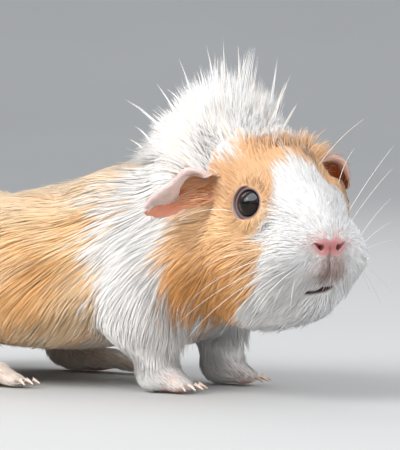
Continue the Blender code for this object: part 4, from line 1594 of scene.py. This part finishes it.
def addSpikes(paths, length, local, rng):
    # draws the hairs nearest to each spike's root out along it
    look, rootTree, rings = crestLook, treeOf(local), crestLook["rings"]
    for start, tip in (np.array(row, float) for row in crestSpikes):
        wanted = int(rng.integers(*look["spikeHairs"]))
        chosen = np.array([hit[1] for hit in rootTree.find_n(start, wanted)])
        reach = rng.uniform(*look["spikeReach"], (len(chosen), 1)) ** 0.8
        bow = np.array([0, 0, np.linalg.norm(tip - start) * rng.uniform(*look["spikeBow"])])
        for ring in range(1, rings + 1):
            t = reach * ring / rings
            line = start + (tip - start) * t + bow * 4 * t * (1 - t)
            hold = look["spikeHold"] * t**0.8
            paths[chosen, ring] = fromHead(mix(local[chosen] + (line - start), line, hold))
        length[chosen] = np.linalg.norm(tip - start)


def growCrest(rng):
    look, rings = crestLook, crestLook["rings"]
    roots = Roots(rng, lambda p: look["density"] * ease(0.0, 0.12, uprightAt(p)) * mix(0.7, 1, uprightAt(p)))
    count, local = len(roots), roots.local
    upright, way = crestWays(roots, rng)
    length = crestLengths(local, rng)
    leaders = np.sort(rng.choice(count, count // look["lock"], replace=False))
    own = leaders[nearestIndex(treeOf(roots.points[leaders]), roots.points)]
    wisp = (rng.random(count) < look["wispShare"])[own] | (rng.random(count) < look["wispShare"] * 0.6)
    longer, others = (rng.uniform(*look[key], count) for key in ("wispLengths", "otherLengths"))
    length = length * np.where(wisp, longer, others)
    (back, out, down), (droop, lying, wispy) = look["sag"], look["droop"]
    outwards = out * np.sign(local[:, 1]) * (1 - upright[:, 0])
    sag = np.stack([np.full(count, back), outwards, np.full(count, down)], 1)
    sag = sag * droop * mix(lying, 1.0, upright) * np.where(wisp, wispy, 1.0)[:, None]
    path = [roots.points]
    for t in (ring / rings for ring in range(1, rings + 1)):
        path.append(roots.points + ((way * t + sag * t**2.2) * (length * mm)[:, None]) @ headAxes)
    paths = np.stack(path, axis=1)
    pull = np.where(wisp, look["wispHold"], look["hold"])[:, None, None]
    pull = pull * np.linspace(0, 1, rings + 1)[None, :, None] ** look["gather"]
    paths = mix(paths, paths[own], pull * rng.uniform(0.5, 1, (count, 1, 1)))
    addSpikes(paths, length, local, rng)
    widths = rng.uniform(*look["width"], count)
    colours = hairTones(paths[:, 0], own, look["spread"], rng)
    whitening = ease(*look["whiteFrom"], length * rng.uniform(0.85, 1.15, count))
    colours = tinted(colours, tones["white"], whitening)
    chance, along, strength = look["blond"]
    blond = (rng.random((count, 1)) < chance * ease(*along, local[:, :1])) * strength
    strength, contrast, size = look["blondLocks"]
    blond = np.maximum(blond, strength * ease(*contrast, ripple(local * (1, 1, 0), size))[:, None])
    facing = unit(mix(body.normals[roots.near], way @ headAxes, look["facing"]))
    tufts = (paths, widths, mix(colours, tones["trunk"], blond), facing, roots.places)
    front = local[:, 0] >= np.median(local[:, 0])
    tuftMesh("coat_crest_front", look, tufts, front)
    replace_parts(tuftMesh("coat_crest_rear", look, tufts, ~front), "crest")


# its shading is the painted shade at each tuft's root and painted light at its tip
browLook = {"slot": "orange_coat", "density": 2.6, "around": 3.6, "width": (0.2, 0.3), "arch": 1.6,
            "stray": 1.3, "pull": 0.3, "spread": 0.06, "shading": (0.92, 1.05), "smooth": 0.5}
# loose orange locks over the left ear, from their roots to their tips, in the head's frame
browWisps = (((27, 7, 83), (20, 11, 88)), ((25, 10, 82), (20, 16, 88)), ((23, 12, 80.5), (20, 21, 87.5)),
             ((21, 14, 79), (20, 26, 86)), ((19, 15.5, 78), (20, 30, 83.5)), ((28, 12, 79), (26, 20, 83.5)))


def growBrow(rng):
    look = browLook
    starts, tips = np.array(browWisps, float).transpose(1, 0, 2)

    def gaps(local):
        return np.linalg.norm(local[:, None] - starts, axis=2)
    roots = Roots(rng, lambda p: look["density"] * (gaps(toHead(p)).min(axis=1) < look["around"]))
    own = gaps(roots.local).argmin(axis=1)
    reach = rng.uniform(0.3, 1.15, (len(roots), 1))
    stray = rng.normal(0, look["stray"], (len(roots), 3))
    path = [roots.points]
    for t in (reach * step for step in (0.25, 0.5, 0.75, 1)):
        line = (tips - starts)[own] * t + np.array([0, 0, look["arch"]]) * 4 * t * (1 - t) + stray * t
        path.append(fromHead(mix(roots.local + line, starts[own] + line, look["pull"] * t)))
    paths = np.stack(path, axis=1)
    colours = mix(hairTones(paths[:, 0], own, look["spread"], rng), tones["apricotBrow"], 0.5)
    widths = rng.uniform(*look["width"], len(roots))
    tuftMesh("coat_brow", look, (paths, widths, colours, body.normals[roots.near], roots.places))


earHairLook = {
    "slot": "orange_coat",
    "density": 5.0,
    "width": (0.16, 0.26),
    "rings": 3,
    "long": (4.5, 9.5),         # over the open root
    "short": (1.2, 2.2),        # along the rim and on the back
    "shares": (0.42, 0.02, 0.16, 0.3),      # that grow at the root, inside, on the back and on the rim
    "rootEnds": (0.5, 0.1),     # how far along the ear the root's hairs thin out
    "rimFrom": 0.6,             # how far across the rim starts
    "shorter": 0.6,             # how much shorter the long ones get towards the tip
    "lift": (0.28, 0.12),       # long and short
    "stray": 0.13,
    "bend": (0.1, 0.3),         # how far the long ones bend in, and the short ones' share
    "deep": 0.45,               # how far the orange is drawn towards the ear's painted shade inside
    "orange": (0.25, 0.7, 0.12),        # how it fades along the open face, and its share on each back
    # shading: painted shade at each tuft's root and painted light at its tip
    "shading": (0.92, 1.04),
    "smooth": 0.6,
}


def growEarHair(rng):
    # long hairs over the open root of each ear, and down along its rim and back
    look = earHairLook
    roots = Roots(rng, lambda p: np.full(len(p), look["density"]), onEar=True)
    nearest = nearestIndex(treeOf(hide.points[onEars.index]), roots.points)
    t, v, face = onEars.t[nearest], onEars.v[nearest], onEars.face[nearest]
    inside = (face > 0) & (v < earShape["fold"][0])
    byRoot, within, back, rim = look["shares"]
    chance = np.where(inside, ease(*look["rootEnds"], t) * byRoot + within, back)
    chance = np.where(~inside & (v > look["rimFrom"]), rim, chance)
    kept = (rng.random(len(roots)) < chance) & (t < 0.99)
    points, normals, places = roots.points[kept], roots.normals[kept], roots.places[kept]
    inside, t, nearest = inside[kept], t[kept], nearest[kept]
    count = len(points)
    long, short = (rng.uniform(*look[key], count) for key in ("long", "short"))
    length = np.where(inside, long * (1 - look["shorter"] * t), short)
    way = onEars.along[nearest] + normals * np.where(inside, *look["lift"])[:, None]
    way = unit(way + rng.normal(0, look["stray"], (count, 3)))
    steps = np.linspace(0, 1, look["rings"] + 1)[None, :, None]
    inwards, share = look["bend"]
    bend = normals[:, None] * (-inwards * np.where(inside, 1, share)[:, None, None]) * steps**2
    paths = points[:, None] + (way[:, None] * steps + bend) * (length * mm)[:, None, None]
    orange = mix(tones["apricotDeep"], bareTones["earCupShade"], rng.uniform(0, look["deep"], (count, 1)))
    pale = mix(tones["white"], bareTones["earBack"], 0.3)
    fade, left, right = look["orange"]
    share = np.where(inside, 1 - fade * t, np.where(onEars.side[nearest] > 0, left, right))[:, None]
    colours = mix(pale, orange, share * rng.uniform(0.7, 1, (count, 1)))
    tuftMesh("coat_ears", look, (paths, rng.uniform(*look["width"], count), colours, normals, places))


def joined(ears):
    # both ears' places in one set of arrays
    keys = ears["right"].keys()
    return SimpleNamespace(**{key: np.concatenate([ear[key] for ear in ears.values()]) for key in keys})


print("unwrap")
hide.corners, hide.places = unwrappedSkin()
print("coat")
body.tree = treeOf(body.points)
body.run, body.length, body.depth = surfaceCoat()
onEars = joined(ears)
isEar = np.zeros(len(hide.points), bool)
isEar[onEars.index[onEars.t > 0.03]] = True
hide.onEar = isEar[hide.corners].any(axis=1)
growers = {11: growFace, 12: growTrunk, 13: growRuff, 15: growLegs,      # by their seeds
           14: growCrest, 16: growEarHair, 17: growBrow}
for seed, grow in growers.items():
    grow(np.random.default_rng(seed))


# whiskers, from both sides of the muzzle, and a few over each eye

whiskerLook = {"thick": 0.17, "tip": 0.022, "sunk": 0.6, "rings": 12, "sides": 5, "tint": (244, 238, 226)}
# from their roots to their tips, and how far the middle bows up, in the head's frame
whiskers = (
    ((55.5, -14.5, 47.5), (22.5, -38, 24.5), 3.0), ((56, -14, 46), (31, -39, 20), 3.2),
    ((55.5, -15, 49.5), (41.5, -42, 35), 3.0), ((56.5, -13.5, 45), (46.5, -34, 23.5), 2.6),
    ((57, -12.5, 44), (56, -29, 26.5), 2.2), ((56, -15, 51), (46, -41, 45.5), 2.4),
    ((55, -15.5, 46.5), (54, -33, 35), 2.0), ((55, -10.5, 41.5), (56, -13, 31), 0.6),
    ((53, -12.5, 41), (50, -17, 29.5), 0.8), ((30, -22, 63), (11, -34, 57), 3.0),
    ((50, 16, 63), (34, 42, 85), 0.8), ((50.5, 16, 61), (30, 44, 77), 0.8),
    ((55, 14.5, 55), (31, 43, 67), 0.8), ((56, 14, 52), (29, 45, 59), 0.8),
    ((57, 13, 50), (30.5, 44, 52.5), 0.8), ((57, 13, 47), (35, 40, 35), 1.2),
    ((57, 12.5, 46), (33.5, 37, 31), 1.2), ((57, 12, 45), (33, 33, 35), 1.2),
    ((35, 12, 78), (37, 28, 94), 1.2), ((42, 15, 73), (40, 22, 84), 1.0), ((30, 22, 63), (11, 34, 57), 3.0),
)


def buildWhiskers():
    look = whiskerLook
    bm = bmesh.new()
    for root, tip, bow in (map(np.array, row) for row in whiskers):
        start = toHead(body.points[body.tree.find(fromHead(root * 1.0))[1]])
        way = unit(tip - start)
        start = start - way * look["sunk"]
        rise = unit(np.array([0, 0, 1.0]) - way * way[2]) * bow
        rings = []
        for t in (k / look["rings"] for k in range(look["rings"] + 1)):
            place = start + (tip - start) * t + rise * 4 * t * (1 - t)
            ahead = unit(tip - start + rise * 4 * (1 - 2 * t))
            across = unit(np.cross(ahead, (0, 0, 1)))
            over = np.cross(across, ahead)
            radius = look["thick"] / 2 * (1 - t) ** 0.6 + look["tip"]
            turns = np.arange(look["sides"]) * 2 * math.pi / look["sides"]
            outs = [across * math.cos(turn) + over * math.sin(turn) for turn in turns]
            ring = [bm.verts.new(fromHead(place + out * radius)) for out in outs]
            rings.append([bm.edges.new((a, b)) for a, b in zip(ring, ring[1:] + ring[:1])])
        for first, second in zip(rings, rings[1:]):
            bmesh.ops.bridge_loops(bm, edges=first + second)
        for end in (rings[0], rings[-1]):
            bmesh.ops.edgeloop_fill(bm, edges=end)
    bmesh.ops.recalc_face_normals(bm, faces=bm.faces[:])
    piece = objectOf(bm, "whiskers")
    setColours(piece.data, "tint", np.tile(linear(look["tint"]), (len(piece.data.vertices), 1)))
    piece.data.shade_smooth()
    finishPiece(piece, whiskerFinish(), "white_coat")


print("whiskers")
buildWhiskers()


# floor, light and camera

floorShape = {"flat": 3.0, "rimRadius": 6.5, "rimHeight": 1.6, "rimSteps": 8, "around": 96}


def buildFloor():
    # a flat round floor whose rim curves up, spun from its profile
    bm = bmesh.new()
    flat, steps = floorShape["flat"], floorShape["rimSteps"]
    wide = floorShape["rimRadius"] - flat
    profile = [bm.verts.new((flat * k, 0, 0)) for k in (0, 0.2, 1)]
    for turn in (math.pi / 2 * k / steps for k in range(1, steps + 1)):
        rise = floorShape["rimHeight"] * (1 - math.cos(turn))
        profile.append(bm.verts.new((flat + wide * math.sin(turn), 0, rise)))
    for a, b in zip(profile, profile[1:]):
        bm.edges.new((a, b))
    bmesh.ops.spin(bm, geom=bm.verts[:] + bm.edges[:], cent=(0, 0, 0), axis=(0, 0, 1),
                   angle=2 * math.pi, steps=floorShape["around"], use_merge=True)
    bmesh.ops.remove_doubles(bm, verts=bm.verts[:], dist=1e-5)
    bmesh.ops.recalc_face_normals(bm, faces=bm.faces[:])
    piece = objectOf(bm, "floor")
    if piece.data.polygons[0].normal.z < 0:
        piece.data.flip_normals()
    piece.data.shade_smooth()
    piece.data.materials.append(floorFinish())


lights = {
    # place, size, power and colour
    "key": ((-0.35, -1.2, 1.15), 1.3, 28, (1.0, 0.985, 0.96)),
    "fill": ((1.5, 0.1, 0.7), 1.4, 9, (0.95, 0.975, 1.0)),
    "back": ((-1.2, 0.7, 1.2), 1.2, 6, (1.0, 0.99, 0.97)),
    "window": ((0.35, -0.6, 1.25), 1.7, 52, (0.8, 0.91, 1.0)),
}
sky = {"colour": (0.86, 0.89, 0.93, 1), "strength": 0.9}
bodyMiddle = Vector((0.03, -0.01, 0.05))     # what every light points at


def pointAt(thing, place, way):
    thing.location = place
    thing.rotation_mode = "QUATERNION"
    thing.rotation_quaternion = way.to_track_quat("-Z", "Y")
    bpy.context.scene.collection.objects.link(thing)


def buildLights():
    for name, (place, size, power, colour) in lights.items():
        data = bpy.data.lights.new(name, "AREA")
        data.shape = "DISK"
        data.size, data.energy, data.color = size, power, colour
        lamp = bpy.data.objects.new(name, data)
        lamp.visible_diffuse = name != "window"     # the window is there for the shine on the eyes
        pointAt(lamp, place, bodyMiddle - Vector(place))
    world = bpy.data.worlds.new("softSky")
    bpy.context.scene.world = world
    world.use_nodes = True
    background = world.node_tree.nodes["Background"]
    background.inputs["Color"].default_value = sky["colour"]
    background.inputs["Strength"].default_value = sky["strength"]
    bpy.context.scene.view_settings.view_transform = "Standard"


cameraSet = {
    "azimuth": 35,
    "elevation": 2,
    "distance": 0.95,
    "viewHeight": 0.1461,     # how much of the animal the frame's height takes in, in m
    "aim": (0.0747, -0.0555, 0.0594),
}


def buildCamera():
    data = bpy.data.cameras.new("camera")
    data.sensor_width = 36
    data.lens = data.sensor_width * cameraSet["distance"] / cameraSet["viewHeight"]
    data.clip_start, data.clip_end = 0.01, 50
    camera = bpy.data.objects.new("camera", data)
    a, e = math.radians(cameraSet["azimuth"]), math.radians(cameraSet["elevation"])
    back = Vector((math.sin(a) * math.cos(e), -math.cos(a) * math.cos(e), math.sin(e)))
    pointAt(camera, Vector(cameraSet["aim"]) + back * cameraSet["distance"], -back)
    bpy.context.scene.camera = camera


print("stage")
buildFloor()
buildLights()
buildCamera()
